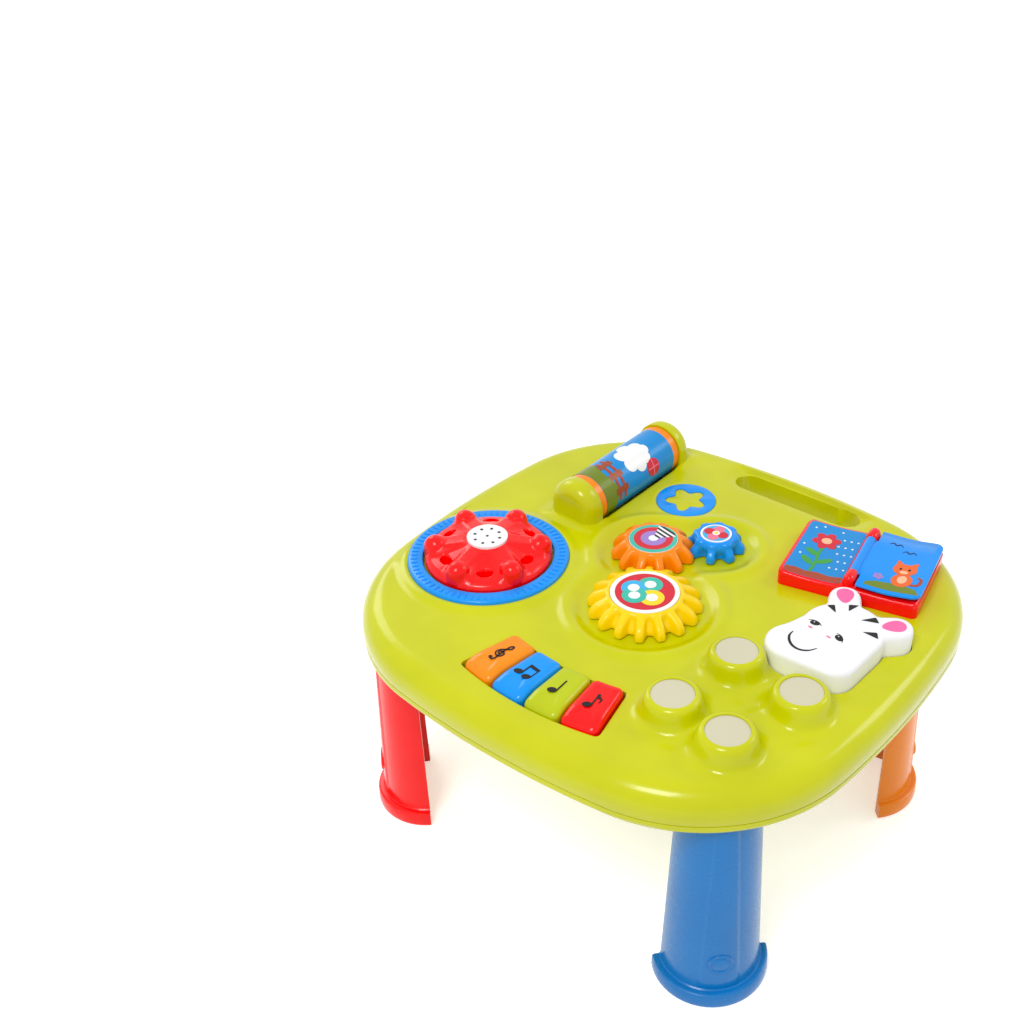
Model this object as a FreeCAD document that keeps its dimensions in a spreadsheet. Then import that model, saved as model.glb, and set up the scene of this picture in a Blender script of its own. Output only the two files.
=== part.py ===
import FreeCAD, Part
import Sketcher
import math
import os
import re

# Musical activity table: a rounded-square play top on four push-fit half-round legs.
# Frame: X right along the front edge, Y to the back, Z up, origin on the floor under
# the middle of the top. Millimetres.

os.makedirs("parts", exist_ok=True)
doc = FreeCAD.newDocument("activity_table")

SIZES = {
    # play top casing
    "casing_width": 350.0,
    "casing_depth": 334.0,
    "side_radius": 600.0,
    "corner_radius": 108.0,
    "top_height": 171.0,
    "casing_thickness": 27.5,
    "lower_casing_height": 6.5,
    "wall": 2.4,
    "edge_radius": 14.0,
    "lower_edge_radius": 4.0,
    "lip_height": 3.0,
    "lip_thickness": 1.4,
    # clearances
    "static_gap": 0.15,
    "running_gap": 0.08,
    "moving_gap": 0.5,
    # carrying handle
    "handle_middle": 14.0,
    "handle_setback": 140.0,
    "handle_length": 98.0,
    "handle_width": 22.0,
    # legs
    "leg_spacing": 119.6,
    "front_leg_setback": 109.5,
    "back_leg_setback": 85.2,
    "leg_top_radius": 24.5,
    "leg_foot_radius": 31.0,
    "leg_wall": 2.6,
    "foot_flange_radius": 36.0,
    "foot_flange_height": 11.0,
    "leg_plug_radius": 20.5,
    "leg_plug_height": 16.0,
    "leg_cap_thickness": 3.0,
    "leg_boss_radius": 7.5,
    "leg_boss_height": 34.0,
    "leg_boss_thickness": 1.2,
    # steering wheel
    "wheel_across": -106.7,
    "wheel_setback": -47.7,
    "tick_ring_radius": 52.8,
    "tick_ring_bore": 43.0,
    "tick_ring_height": 4.5,
    "collar_width": 4.0,
    "collar_height": 2.0,
    "wheel_radius": 41.5,
    "wheel_rim_radius": 5.0,
    "wheel_dish_thickness": 2.4,
    "wheel_spokes": 6,
    "wheel_turn": 38.4,
    "spoke_width": 12.0,
    "spoke_end_height": 13.0,
    "grip_radius": 6.0,
    "wheel_hub_radius": 17.0,
    "wheel_hub_height": 17.5,
    "wheel_shaft_radius": 6.0,
    "hub_cap_radius": 13.3,
    "hub_cap_thickness": 1.8,
    "hub_cap_holes": 8,
    "hub_cap_hole_radius": 0.9,
    "hub_cap_hole_circle": 8.2,
    "retainer_radius": 11.0,
    "retainer_thickness": 2.0,
    # gears
    "gear_module": 4.2,
    "yellow_teeth": 16,
    "orange_teeth": 12,
    "blue_teeth": 8,
    "yellow_across": 4.1,
    "yellow_setback": -25.0,
    "train_turn": 121.3,
    "blue_turn": 46.0,
    "tooth_addendum": 2.7,
    "tooth_dedendum": 4.1,
    "tooth_root_width": 7.6,
    "tooth_tip_width": 3.0,
    "tooth_edge_height": 4.5,
    "gear_height": 12.5,
    "gear_rim": 3.0,
    "gear_wall": 2.2,
    "yellow_badge_radius": 21.8,
    "orange_badge_radius": 16.2,
    "blue_badge_radius": 10.4,
    "badge_thickness": 1.2,
    "gear_post_radius": 3.6,
    "gear_post_height": 9.0,
    "gear_washer_radius": 4.9,
    "gear_washer_thickness": 0.8,
    "gear_hub_radius": 6.2,
    "gear_well_depth": 2.5,
    "gear_well_margin": 12.0,
    "gear_lip_width": 4.0,
    "gear_lip_height": 1.5,
    # roller
    "roller_across": -94.3,
    "roller_setback": 79.2,
    "roller_radius": 17.7,
    "roller_rise": 8.0,
    "roller_length": 90.0,
    "roller_ring_width": 6.0,
    "roller_wall": 2.0,
    "roller_pin_radius": 2.0,
    "cheek_thickness": 14.0,
    "cheek_round": 9.0,
    # star badge
    "star_across": -45.7,
    "star_setback": 90.1,
    "star_badge_radius": 20.9,
    "star_radius": 13.5,
    "star_tip": 2.6,
    "inlay_depth": 0.8,
    # keys
    "key_arc_across": 3.5,
    "key_arc_setback": 79.0,
    "key_front_radius": 222.0,
    "key_back_radius": 182.0,
    "key_span": 26.8,
    "key_gap": 0.9,
    "key_rise": 4.0,
    "key_skirt": 6.0,
    "key_round": 2.5,
    "key_pivot_setback": 6.0,
    "key_pivot_drop": 7.0,
    "key_arm_half_width": 7.0,
    "key_arm_thickness": 3.0,
    "key_pin_radius": 1.5,
    "key_bracket_thickness": 2.0,
    "key_nub_radius": 2.0,
    "key_nub_length": 2.0,
    # lamps
    "lens_1_across": 83.6,
    "lens_1_setback": -42.2,
    "lens_2_across": 76.4,
    "lens_2_setback": -95.9,
    "lens_3_across": 131.9,
    "lens_3_setback": -50.0,
    "lens_4_across": 117.4,
    "lens_4_setback": -102.3,
    "lens_radius": 12.6,
    "lens_thickness": 1.6,
    "lens_flange": 1.4,
    "boss_height": 14.0,
    "boss_foot_radius": 18.3,
    "boss_top_radius": 16.6,
    "boss_round": 3.4,
    "led_radius": 2.5,
    "led_body_height": 7.0,
    # animal head button
    "head_across": 121.0,
    "head_setback": 15.0,
    "head_radius": 25.5,
    "muzzle_across": -18.0,
    "muzzle_setback": -28.0,
    "muzzle_radius": 16.2,
    "jowl_across": 11.0,
    "jowl_setback": -29.0,
    "jowl_radius": 13.5,
    "left_ear_across": -15.0,
    "left_ear_setback": 29.0,
    "right_ear_across": 25.0,
    "right_ear_setback": 20.5,
    "ear_radius": 10.2,
    "head_rise": 14.0,
    "head_round": 4.0,
    "head_travel": 3.0,
    "head_flange_thickness": 1.6,
    "head_flange_margin": 4.0,
    "head_flange_width": 12.0,
    "head_stem_radius": 4.5,
    "head_stem_lift": 5.0,
    "head_sleeve_height": 13.0,
    "head_sleeve_wall": 1.6,
    "head_spring_wire": 0.5,
    "head_spring_radius": 7.4,
    "head_spring_turns": 5,
    # picture book
    "book_across": 93.5,
    "book_setback": 87.5,
    "book_turn": 12.5,
    "book_width": 91.0,
    "book_depth": 67.0,
    "book_base_thickness": 11.5,
    "book_corner": 4.0,
    "book_leaf_thickness": 3.0,
    "book_leaf_margin": 2.0,
    "book_knuckle_radius": 3.2,
    "book_knuckle_length": 9.0,
    "book_pin_radius": 1.2,
    "book_spine_gap": 3.8,
    "book_tongue_width": 40.0,
    # inside
    "cell_radius": 7.1,
    "cell_length": 50.2,
    "cell_pitch": 15.4,
    "cell_button_radius": 2.6,
    "cell_button_height": 1.4,
    "cell_box_gap": 2.6,
    "cell_box_wall": 1.6,
    "contact_thickness": 0.4,
    "battery_across": -12.0,
    "battery_setback": 2.0,
    "door_margin": 6.0,
    "speaker_across": -24.0,
    "speaker_setback": 88.0,
    "speaker_radius": 20.0,
    "speaker_depth": 6.0,
    "speaker_magnet_radius": 10.0,
    "speaker_magnet_depth": 5.0,
    "speaker_hole_radius": 1.5,
    "speaker_hole_circle": 10.0,
    "board_thickness": 1.6,
    "board_standoff": 3.0,
    "main_board_across": 68.0,
    "main_board_setback": 100.0,
    "main_board_width": 56.0,
    "main_board_depth": 34.0,
    "lamp_board_margin": 8.0,
    "screw_radius": 1.2,
    "screw_head_radius": 2.8,
    "screw_head_height": 1.8,
    "screw_boss_radius": 4.2,
    "switch_across": 52.0,
    "switch_setback": 20.0,
    "switch_travel": 4.0,
    "switch_knob_length": 5.0,
    "switch_knob_width": 4.0,
    "switch_body_height": 6.0,
    "strip_thickness": 1.0,
    "strip_dome_height": 1.0,
    "press_depth": 3.0,
}

sheet = doc.addObject("Spreadsheet::Sheet", "dims")
for row, (alias, number) in enumerate(SIZES.items(), start=1):
    sheet.set(f"A{row}", alias)
    sheet.set(f"B{row}", str(number))
    sheet.setAlias(f"B{row}", alias)
doc.recompute()

parts = {}


def sized(text):
    """Point every size name in a formula at its cell in the sheet."""
    return re.sub(r"[a-z]\w+", lambda m: "dims." + m.group(0) if m.group(0) in SIZES else m.group(0),
                  str(text))


def bind(feature, **formulas):
    for name, text in formulas.items():
        feature.setExpression(name, sized(text))
    return feature


def at(feature, x=0, y=0, z=0, turn=0, axis=(0, 0, 1)):
    spin = f"rotation(vector({axis[0]}; {axis[1]}; {axis[2]}); {turn})"
    feature.setExpression("Placement", sized(f"placement(vector({x}; {y}; {z}); {spin})"))
    return feature


def cylinder(name, radius, height, angle=360):
    feature = doc.addObject("Part::Cylinder", name)
    return bind(feature, Radius=radius, Height=height, Angle=angle)


def cone(name, low_radius, high_radius, height, angle=360):
    feature = doc.addObject("Part::Cone", name)
    return bind(feature, Radius1=low_radius, Radius2=high_radius, Height=height, Angle=angle)


def box(name, length, width, height):
    feature = doc.addObject("Part::Box", name)
    return bind(feature, Length=length, Width=width, Height=height)


def centred_box(name, length, width, height, x=0, y=0, z=0, turn=0):
    """A box turned about the middle of its foot, which stands at x, y, z."""
    dx = f"(({x}) - ({length})/2*cos({turn}) + ({width})/2*sin({turn}))"
    dy = f"(({y}) - ({length})/2*sin({turn}) - ({width})/2*cos({turn}))"
    return at(box(name, length, width, height), dx, dy, z, turn)


def fuse(name, *shapes):
    feature = doc.addObject("Part::MultiFuse", name)
    feature.Shapes = list(shapes)
    feature.Refine = True
    return feature


def cut(name, base, *tools):
    feature = doc.addObject("Part::Cut", name)
    feature.Base = base
    feature.Tool = tools[0] if len(tools) == 1 else fuse(name + "_tools", *tools)
    return feature


def rounded(name, base, radius, wanted):
    """Round the edges of base that wanted(edge) picks, by the named radius."""
    doc.recompute()
    feature = doc.addObject("Part::Fillet", name)
    feature.Base = base
    picked = [i for i, edge in enumerate(base.Shape.Edges, start=1) if wanted(edge)]
    feature.Edges = [(i, s[radius], s[radius]) for i in picked]
    return feature


def part(label, feature):
    feature.Label = label
    parts[label] = feature
    return feature


def level(edge, height):
    box_ = edge.BoundBox
    return abs(box_.ZMin - height) < 1e-3 and abs(box_.ZMax - height) < 1e-3


# levels and distances that several pieces share
TOP = "top_height"
UNDER = "(top_height - wall)"
BASE = "(top_height - casing_thickness)"
FLOOR = f"({BASE} + wall)"
SEAM = f"({BASE} + lower_casing_height)"
WELL = "(top_height - gear_well_depth)"

s = SIZES
top_height = s["top_height"]
base_height = top_height - s["casing_thickness"]
floor_height = base_height + s["wall"]
seam_height = base_height + s["lower_casing_height"]


# play top outline: four long arcs joined by four corner arcs, all tangent
def outline_sketch(body, name, inset):
    half_w = s["casing_width"] / 2 - inset_value(inset)
    half_d = s["casing_depth"] / 2 - inset_value(inset)
    side = s["side_radius"] - inset_value(inset)
    corner = s["corner_radius"] - inset_value(inset)
    run = side - corner
    far_x = side - half_w
    far_y = side - half_d
    # corner centre (a, b): run away from (0, -far_y) and from (-far_x, 0)
    spread = math.hypot(far_x, far_y)
    along = math.sqrt(run ** 2 - (spread / 2) ** 2)
    a = -far_x / 2 + along * far_y / spread
    b = -far_y / 2 + along * far_x / spread
    tilt_front = math.atan2(a, b + far_y)
    tilt_side = math.atan2(b, a + far_x)
    sketch = body.newObject("Sketcher::SketchObject", name)
    plane = [f for f in body.Origin.OriginFeatures if f.Role == "XY_Plane"][0]
    sketch.AttachmentSupport = (plane, [""])
    sketch.MapMode = "FlatFace"
    quarter = math.pi / 2
    arcs = []
    for k in range(4):
        # side arcs face +X, +Y, -X, -Y in turn, each followed by the corner arc after it
        facing = k * quarter
        side_tilt = tilt_side if k % 2 == 0 else tilt_front
        back = far_x if k % 2 == 0 else far_y
        middle = FreeCAD.Vector(-back * math.cos(facing), -back * math.sin(facing), 0)
        circle = Part.Circle(middle, FreeCAD.Vector(0, 0, 1), side)
        arcs.append(Part.ArcOfCircle(circle, facing - side_tilt, facing + side_tilt))
        next_tilt = tilt_front if k % 2 == 0 else tilt_side
        middle = FreeCAD.Vector(a * (1 if k in (0, 3) else -1), b * (1 if k in (0, 1) else -1), 0)
        circle = Part.Circle(middle, FreeCAD.Vector(0, 0, 1), corner)
        arcs.append(Part.ArcOfCircle(circle, facing + side_tilt, facing + quarter - next_tilt))
    sketch.addGeometry(arcs, False)
    constraints = []
    for k in range(8):
        constraints.append(Sketcher.Constraint("Tangent", k, 2, (k + 1) % 8, 1))
    sketch.addConstraint(constraints)
    for k in range(8):
        radius = side if k % 2 == 0 else corner
        index = sketch.addConstraint(Sketcher.Constraint("Radius", k, radius))
        size = "side_radius" if k % 2 == 0 else "corner_radius"
        sketch.setExpression(f"Constraints[{index}]", sized(f"{size} - ({inset})"))
    for k in range(4):
        arc = 2 * k
        sketch.addConstraint(Sketcher.Constraint("PointOnObject", arc, 3, -1 if k % 2 == 0 else -2))
        kind = "DistanceX" if k % 2 == 0 else "DistanceY"
        middle = arcs[arc].Center
        distance = middle.x if k % 2 == 0 else middle.y
        size = "casing_width" if k % 2 == 0 else "casing_depth"
        sign = -1 if distance < 0 else 1
        ends = (-1, 1, arc, 3) if sign > 0 else (arc, 3, -1, 1)
        index = sketch.addConstraint(Sketcher.Constraint(kind, *ends, abs(distance)))
        sketch.setExpression(f"Constraints[{index}]", sized(f"side_radius - {size}/2"))
    return sketch


def inset_value(inset):
    """The inset in millimetres, from the names of sizes added up in it."""
    return sum(s[word] for word in re.findall(r"[a-z]\w+", str(inset)))


def outline_block(name, inset, low, height):
    """A plate with the play top's outline, moved in by inset, from level low upwards."""
    body = doc.addObject("PartDesign::Body", name)
    sketch = outline_sketch(body, name + "_outline", inset)
    pad = body.newObject("PartDesign::Pad", name + "_pad")
    pad.Profile = sketch
    pad.setExpression("Length", sized(height))
    at(body, z=low)
    doc.recompute()
    return body


def edge_fillet(body, name, radius, upper):
    """Round the upper or the lower rim of an outline plate."""
    base = body.Tip
    height = base.Shape.BoundBox.ZMax if upper else base.Shape.BoundBox.ZMin
    rim = [f"Edge{i}" for i, edge in enumerate(base.Shape.Edges, start=1) if level(edge, height)]
    fillet = body.newObject("PartDesign::Fillet", name)
    fillet.Base = (base, rim)
    fillet.setExpression("Radius", sized(radius))
    doc.recompute()
    return body


# places of the repeated features
LEGS = {
    "leg_front_left": ("-leg_spacing", "-front_leg_setback", 225),
    "leg_front_right": ("leg_spacing", "-front_leg_setback", 315),
    "leg_back_right": ("leg_spacing", "back_leg_setback", 45),
    "leg_back_left": ("-leg_spacing", "back_leg_setback", 135),
}
# shares of the casing's half width and half depth
SCREW_SHARES = [(-0.434, -0.856), (0.411, -0.856), (-0.914, 0.096), (0.92, -0.036), (-0.4, 0.886),
                (0.64, 0.838)]
SCREWS = [(f"({u}*casing_width/2)", f"({v}*casing_depth/2)") for u, v in SCREW_SHARES]
LENSES = [(f"lens_{i}_across", f"lens_{i}_setback") for i in (1, 2, 3, 4)]
# the lamp board's posts stand half-way between neighbouring lamps
LAMP_POSTS = [(f"(lens_{i}_across + lens_{j}_across)/2", f"(lens_{i}_setback + lens_{j}_setback)/2")
              for i, j in ((1, 2), (1, 3), (2, 4), (3, 4))]
YELLOW = ("yellow_across", "yellow_setback")
LONG_RUN = "(gear_module*(yellow_teeth + orange_teeth)/2)"
SHORT_RUN = "(gear_module*(orange_teeth + blue_teeth)/2)"
ORANGE = (f"(yellow_across + {LONG_RUN}*cos(train_turn))", f"(yellow_setback + {LONG_RUN}*sin(train_turn))")
BLUE = (f"({ORANGE[0]} + {SHORT_RUN}*cos(blue_turn))", f"({ORANGE[1]} + {SHORT_RUN}*sin(blue_turn))")
GEARS = {
    "yellow": (YELLOW, "yellow_teeth", "yellow_badge_radius"),
    "orange": (ORANGE, "orange_teeth", "orange_badge_radius"),
    "blue": (BLUE, "blue_teeth", "blue_badge_radius"),
}
KEYS = ["key_orange", "key_blue", "key_green", "key_red"]


def tip_radius(teeth):
    return f"(gear_module*{teeth}/2 + tooth_addendum)"


def key_angle(i):
    return f"(-90 - key_span/2 + key_span/4*({i}))"


# animal head outline, grown by a margin: discs joined by straight-sided webs
def head_plate(name, margin, low, height):
    def disc(tag, x, y, radius):
        return at(cylinder(f"{name}_{tag}", f"{radius} + ({margin})", height),
                  f"head_across + ({x})", f"head_setback + ({y})", low)

    def tangent_web(tag, start, end):
        """The block between the two lines that touch both discs."""
        (x0, y0, r0), (x1, y1, r1) = start, end
        dx, dy = f"(({x1}) - ({x0}))", f"(({y1}) - ({y0}))"
        run = f"sqrt({dx}*{dx} + {dy}*{dy})"
        lean = f"(({r0} - {r1})/{run})"
        flat = f"sqrt(1 - {lean}*{lean})"
        near, far = f"({r0} + ({margin}))", f"({r1} + ({margin}))"
        block = doc.addObject("Part::Wedge", f"{name}_{tag}")
        bind(block, Xmin=f"-{near}*{flat}", Xmax=f"{near}*{flat}", X2min=f"-{far}*{flat}",
             X2max=f"{far}*{flat}",
             Ymin=f"{near}*{lean}", Ymax=f"{run} + {far}*{lean}", Zmin="0", Zmax=height, Z2min="0",
             Z2max=height)
        return at(block, f"head_across + ({x0})", f"head_setback + ({y0})", low,
                  f"atan2({dy}; {dx}) - 90 deg")

    head = ("0", "0", "head_radius")
    muzzle = ("muzzle_across", "muzzle_setback", "muzzle_radius")
    jowl = ("jowl_across", "jowl_setback", "jowl_radius")
    left_ear = ("left_ear_across", "left_ear_setback", "ear_radius")
    right_ear = ("right_ear_across", "right_ear_setback", "ear_radius")
    ear_root = ("0", "0", "ear_radius")
    shapes = [disc(tag, *spot) for tag, spot in (("head", head), ("muzzle", muzzle), ("jowl", jowl),
                                                  ("left_ear", left_ear), ("right_ear", right_ear))]
    shapes.append(tangent_web("muzzle_web", head, muzzle))
    shapes.append(tangent_web("jowl_web", head, jowl))
    shapes.append(tangent_web("chin_web", muzzle, jowl))
    shapes.append(tangent_web("left_ear_web", ear_root, left_ear))
    shapes.append(tangent_web("right_ear_web", ear_root, right_ear))
    plate = fuse(name + "_sum", *shapes)
    notch = at(cylinder(name + "_notch", f"boss_foot_radius + 2*moving_gap + 1 - ({margin})",
                        f"({height}) + 2"),
               LENSES[2][0], LENSES[2][1], f"{low} - 1")
    return cut(name, plate, notch)


# places that a heading or a formula gives
def key_frame(i):
    """Heading of key i, and its cosine and sine, as formulas."""
    heading = key_angle(f"{i} + 0.5")
    return heading, f"cos({heading})", f"sin({heading})"


def key_place(i, outward, sideways):
    heading, c, q = key_frame(i)
    x = f"(key_arc_across + ({outward})*{c} - ({sideways})*{q})"
    y = f"(key_arc_setback + ({outward})*{q} + ({sideways})*{c})"
    return x, y, heading


def key_pin(name, i, grow, half):
    """A round pin across key i, at its pivot."""
    x, y, heading = key_place(i, KEY_PIVOT, f"-({half})")
    pin = cylinder(name, f"key_pin_radius + {grow}", f"2*({half})")
    spin = f"rotation(vector(0; 0; 1); {heading}) * rotation(vector(1; 0; 0); -90)"
    pin.setExpression("Placement", sized(f"placement(vector({x}; {y}; top_height - key_pivot_drop); {spin})"))
    return pin


def book_place(across, setback):
    """A point of the book, from its own middle, in the table's frame."""
    x = f"(book_across + ({across})*cos(book_turn) - ({setback})*sin(book_turn))"
    y = f"(book_setback + ({across})*sin(book_turn) + ({setback})*cos(book_turn))"
    return x, y


def book_block(name, length, width, height, across, setback, low):
    x, y = book_place(across, setback)
    return centred_box(name, length, width, height, x, y, low, "book_turn")


def book_rod(name, radius, length, across, setback, height):
    """A round rod along the book's spine, from its front end."""
    x, y = book_place(across, f"({setback}) - ({length})/2")
    rod = cylinder(name, radius, length)
    spin = "rotation(vector(0; 0; 1); book_turn) * rotation(vector(1; 0; 0); -90)"
    rod.setExpression("Placement", sized(f"placement(vector({x}; {y}; {height}); {spin})"))
    return rod


def handle_block(name, margin, low, high):
    """The hand slot's plan, grown by a margin: a straight slot with half-round ends."""
    width = f"(handle_width + 2*({margin}))"
    height = f"({high}) - ({low})"
    run = "(handle_length - handle_width)"
    middle = centred_box(name + "_middle", run, width, height, "handle_middle", "handle_setback", low)
    ends = []
    for tag, sign in (("left", "-"), ("right", "+")):
        ends.append(at(cylinder(f"{name}_{tag}", f"{width}/2", height),
                       f"handle_middle {sign} {run}/2", "handle_setback", low))
    return fuse(name, middle, *ends)


def leg_half(name, low_radius, high_radius, height, leg, low):
    """A half cone or half disc whose flat side faces the middle of the table."""
    x, y, heading = LEGS[leg]
    return at(cone(name, low_radius, high_radius, height, 180), x, y, low, f"{heading} - 90")


def along_y(feature, x, y, z, forward):
    """Lay a cylinder along Y, running to the front or to the back from y."""
    return at(feature, x, y, z, 90 if forward else -90, (1, 0, 0))


KEY_PIVOT = "(key_back_radius - key_pivot_setback)"
ROLLER_LEVEL = "(top_height + roller_rise)"
CHEEKS = {
    "front": ("(roller_setback - roller_length/2 - moving_gap)", True),
    "back": ("(roller_setback + roller_length/2 + moving_gap)", False),
}
CELL_ROOM = "(cell_length + 2*cell_box_gap)"
CELL_ROOM_WIDTH = "(3*cell_pitch + 1)"
DOOR_LENGTH = f"({CELL_ROOM} + 2*door_margin)"
DOOR_WIDTH = f"({CELL_ROOM_WIDTH} + 2)"
LAMP_BOARD = f"({UNDER} - board_standoff - board_thickness)"
KEY_BOARD_TOP = ("(top_height - key_skirt - key_nub_length - press_depth*0.7 - strip_thickness"
                 " - strip_dome_height)")
NUB_RADIUS = "(key_back_radius + 23)"
GEAR_LOW = f"({WELL} + moving_gap)"
POST_TOP = f"({WELL} + gear_post_height)"
PILOT = "(screw_radius + static_gap/3)"
BOOK_TOP = "(top_height + book_base_thickness)"
BOOK_AXIS = f"({BOOK_TOP} + 0.3 + book_leaf_thickness/2)"
HEAD_FLANGE_LOW = f"({UNDER} - 0.3 - head_flange_thickness)"


# top casing
def make_top_shell():
    outer = outline_block("top_outer", "0", SEAM, f"{TOP} - {SEAM}")
    edge_fillet(outer, "top_outer_round", "edge_radius", True)
    inner = outline_block("top_inner", "wall", SEAM, f"{UNDER} - {SEAM}")
    edge_fillet(inner, "top_inner_round", "edge_radius - wall", True)
    added = [cut("top_skin", outer, inner)]
    removed = []

    # low collar round the tick ring, and the wheel's bearing hole
    added.append(at(cylinder("collar_outer", "tick_ring_radius + static_gap + collar_width",
                             "collar_height + wall/2"),
                    "wheel_across", "wheel_setback", f"{TOP} - wall/2"))
    removed.append(at(cylinder("collar_bore", "tick_ring_radius + static_gap", "collar_height + 1"),
                      "wheel_across", "wheel_setback", TOP))
    removed.append(at(cylinder("wheel_bore", "wheel_shaft_radius + running_gap", "casing_thickness"),
                      "wheel_across", "wheel_setback", BASE))

    # three-lobed gear well with a raised lip
    for colour, ((x, y), teeth, badge) in GEARS.items():
        reach = f"({tip_radius(teeth)} + gear_well_margin)"
        added.append(at(cylinder(f"{colour}_lip", f"{reach} + gear_lip_width",
                                 "gear_lip_height + gear_well_depth + wall"),
                        x, y, f"{WELL} - wall"))
        removed.append(at(cylinder(f"{colour}_well", reach, "gear_well_depth + gear_lip_height + 1"), x, y,
                          WELL))

    # rounded cheeks at both ends of the roller's window
    for tag, (y, forward) in CHEEKS.items():
        drum = along_y(cylinder(f"cheek_{tag}_drum", "roller_radius + 1.5", "cheek_thickness"),
                       "roller_across", y, ROLLER_LEVEL, forward)
        added.append(rounded(f"cheek_{tag}", drum, "cheek_round", outer_rim(tag)))
        foot_y = f"{y} - cheek_thickness" if forward else y
        added.append(at(box(f"cheek_{tag}_foot", "2*(roller_radius + 1.5)",
                            "cheek_thickness - cheek_round/2",
                            "roller_rise + wall/2"),
                        "roller_across - roller_radius - 1.5",
                        f"{foot_y} + {'cheek_round/2' if forward else '0'}", f"{TOP} - wall/2"))
    removed.append(at(box("roller_window", "2*(roller_radius + moving_gap)", "roller_length + 2*moving_gap",
                          "casing_thickness + roller_radius"),
                      "roller_across - roller_radius - moving_gap",
                      "roller_setback - roller_length/2 - moving_gap", f"{SEAM} + 4"))
    removed.append(along_y(cylinder("roller_pin_bore", "roller_pin_radius + running_gap",
                                    "roller_length + 20"),
                           "roller_across", "roller_setback + roller_length/2 + 10", ROLLER_LEVEL, True))

    # lamp bosses, hollow below, each with a mouth for its lens
    for i, (x, y) in enumerate(LENSES, start=1):
        dome = at(cone(f"boss_{i}", "boss_foot_radius", "boss_top_radius", "boss_height + wall/2"), x, y,
                  f"{TOP} - wall/2")
        added.append(rounded(f"boss_{i}_dome", dome, "boss_round",
                             lambda edge: level(edge, top_height + s["boss_height"])))
        removed.append(at(cylinder(f"boss_hollow_{i}", "lens_radius + lens_flange + static_gap",
                                   f"{TOP} + boss_height - lens_thickness - {SEAM}"), x, y, SEAM))
        removed.append(at(cylinder(f"boss_mouth_{i}", "lens_radius + static_gap", "boss_height + 2"), x, y,
                          TOP))

    # windows for the keys and for the head button
    slack = "key_gap*180/(pi*key_front_radius)"
    fan = at(cylinder("key_window_fan", "key_front_radius + moving_gap", "3*wall", f"key_span + 2*{slack}"),
             "key_arc_across", "key_arc_setback", f"{UNDER} - wall", f"-90 - key_span/2 - {slack}")
    core = at(cylinder("key_window_core", "key_back_radius - moving_gap", "5*wall"),
              "key_arc_across", "key_arc_setback", f"{UNDER} - 2*wall")
    removed.append(cut("key_window", fan, core))
    removed.append(head_plate("head_window", "moving_gap", f"({UNDER} - wall)", "3*wall"))
    removed.append(at(cylinder("star_recess", "star_badge_radius + static_gap", "inlay_depth + 1"),
                      "star_across", "star_setback", f"{TOP} - inlay_depth"))

    # posts and brackets under and on the finished top, then the holes through them
    hollow = cut("top_hollow", fuse("top_sum", *added), *removed)
    fixed = [hollow]
    drilled = []
    for i, (x, y) in enumerate(SCREWS, start=1):
        fixed.append(at(cylinder(f"top_post_{i}", "screw_boss_radius",
                                 f"{UNDER} + wall/2 - {SEAM} - lip_height"),
                        x, y, f"{SEAM} + lip_height"))
        drilled.append(at(cylinder(f"top_pilot_{i}", PILOT, "12"), x, y, SEAM))
    for i in range(4):
        low = "(top_height - key_pivot_drop - 2.5*key_pin_radius)"
        for side in (-1, 1):
            x, y, heading = key_place(i, KEY_PIVOT, f"{side}*(key_arm_half_width + moving_gap"
                                      " + key_bracket_thickness/2)")
            fixed.append(centred_box(f"key_bracket_{i}_{side + 1}", "4*key_pin_radius",
                                     "key_bracket_thickness",
                                     f"{UNDER} + wall/2 - {low}", x, y, low, heading))
        drilled.append(key_pin(f"key_pin_hole_{i}", i, "running_gap",
                               "key_arm_half_width + moving_gap + key_bracket_thickness + 0.1"))
    for colour, ((x, y), teeth, badge) in GEARS.items():
        fixed.append(at(cylinder(f"{colour}_post", "gear_post_radius", "gear_post_height + wall/2"),
                        x, y, f"{WELL} - wall/2"))
        drilled.append(at(cylinder(f"{colour}_pilot", PILOT, "gear_post_height + 1"), x, y, WELL))
    for i, (x, y) in enumerate(LAMP_POSTS, start=1):
        fixed.append(at(cylinder(f"lamp_post_{i}", "2.2", "board_standoff + wall/2"), x, y,
                        f"{LAMP_BOARD} + board_thickness"))
    fixed.append(handle_block("handle_sleeve_top", "wall", f"{SEAM}", TOP))
    drilled.append(handle_block("handle_slot_top", "0", f"({SEAM} - 1)", f"({TOP} + 2)"))
    part("top_shell", cut("top_shell_solid", fuse("top_fixed", *fixed), *drilled))


def outer_rim(tag):
    """Pick the rim at the outer end of a roller cheek."""
    half = s["roller_length"] / 2 + s["moving_gap"] + s["cheek_thickness"]
    place = s["roller_setback"] + (-half if tag == "front" else half)

    def wanted(edge):
        limits = edge.BoundBox
        return abs(limits.YMin - place) < 1e-3 and abs(limits.YMax - place) < 1e-3
    return wanted


def lamp_edges():
    """Lowest and highest lamp across and along, as size names."""
    across = sorted((s[x], x) for x, y in LENSES)
    setback = sorted((s[y], y) for x, y in LENSES)
    return across[0][1], across[-1][1], setback[0][1], setback[-1][1]


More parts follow.
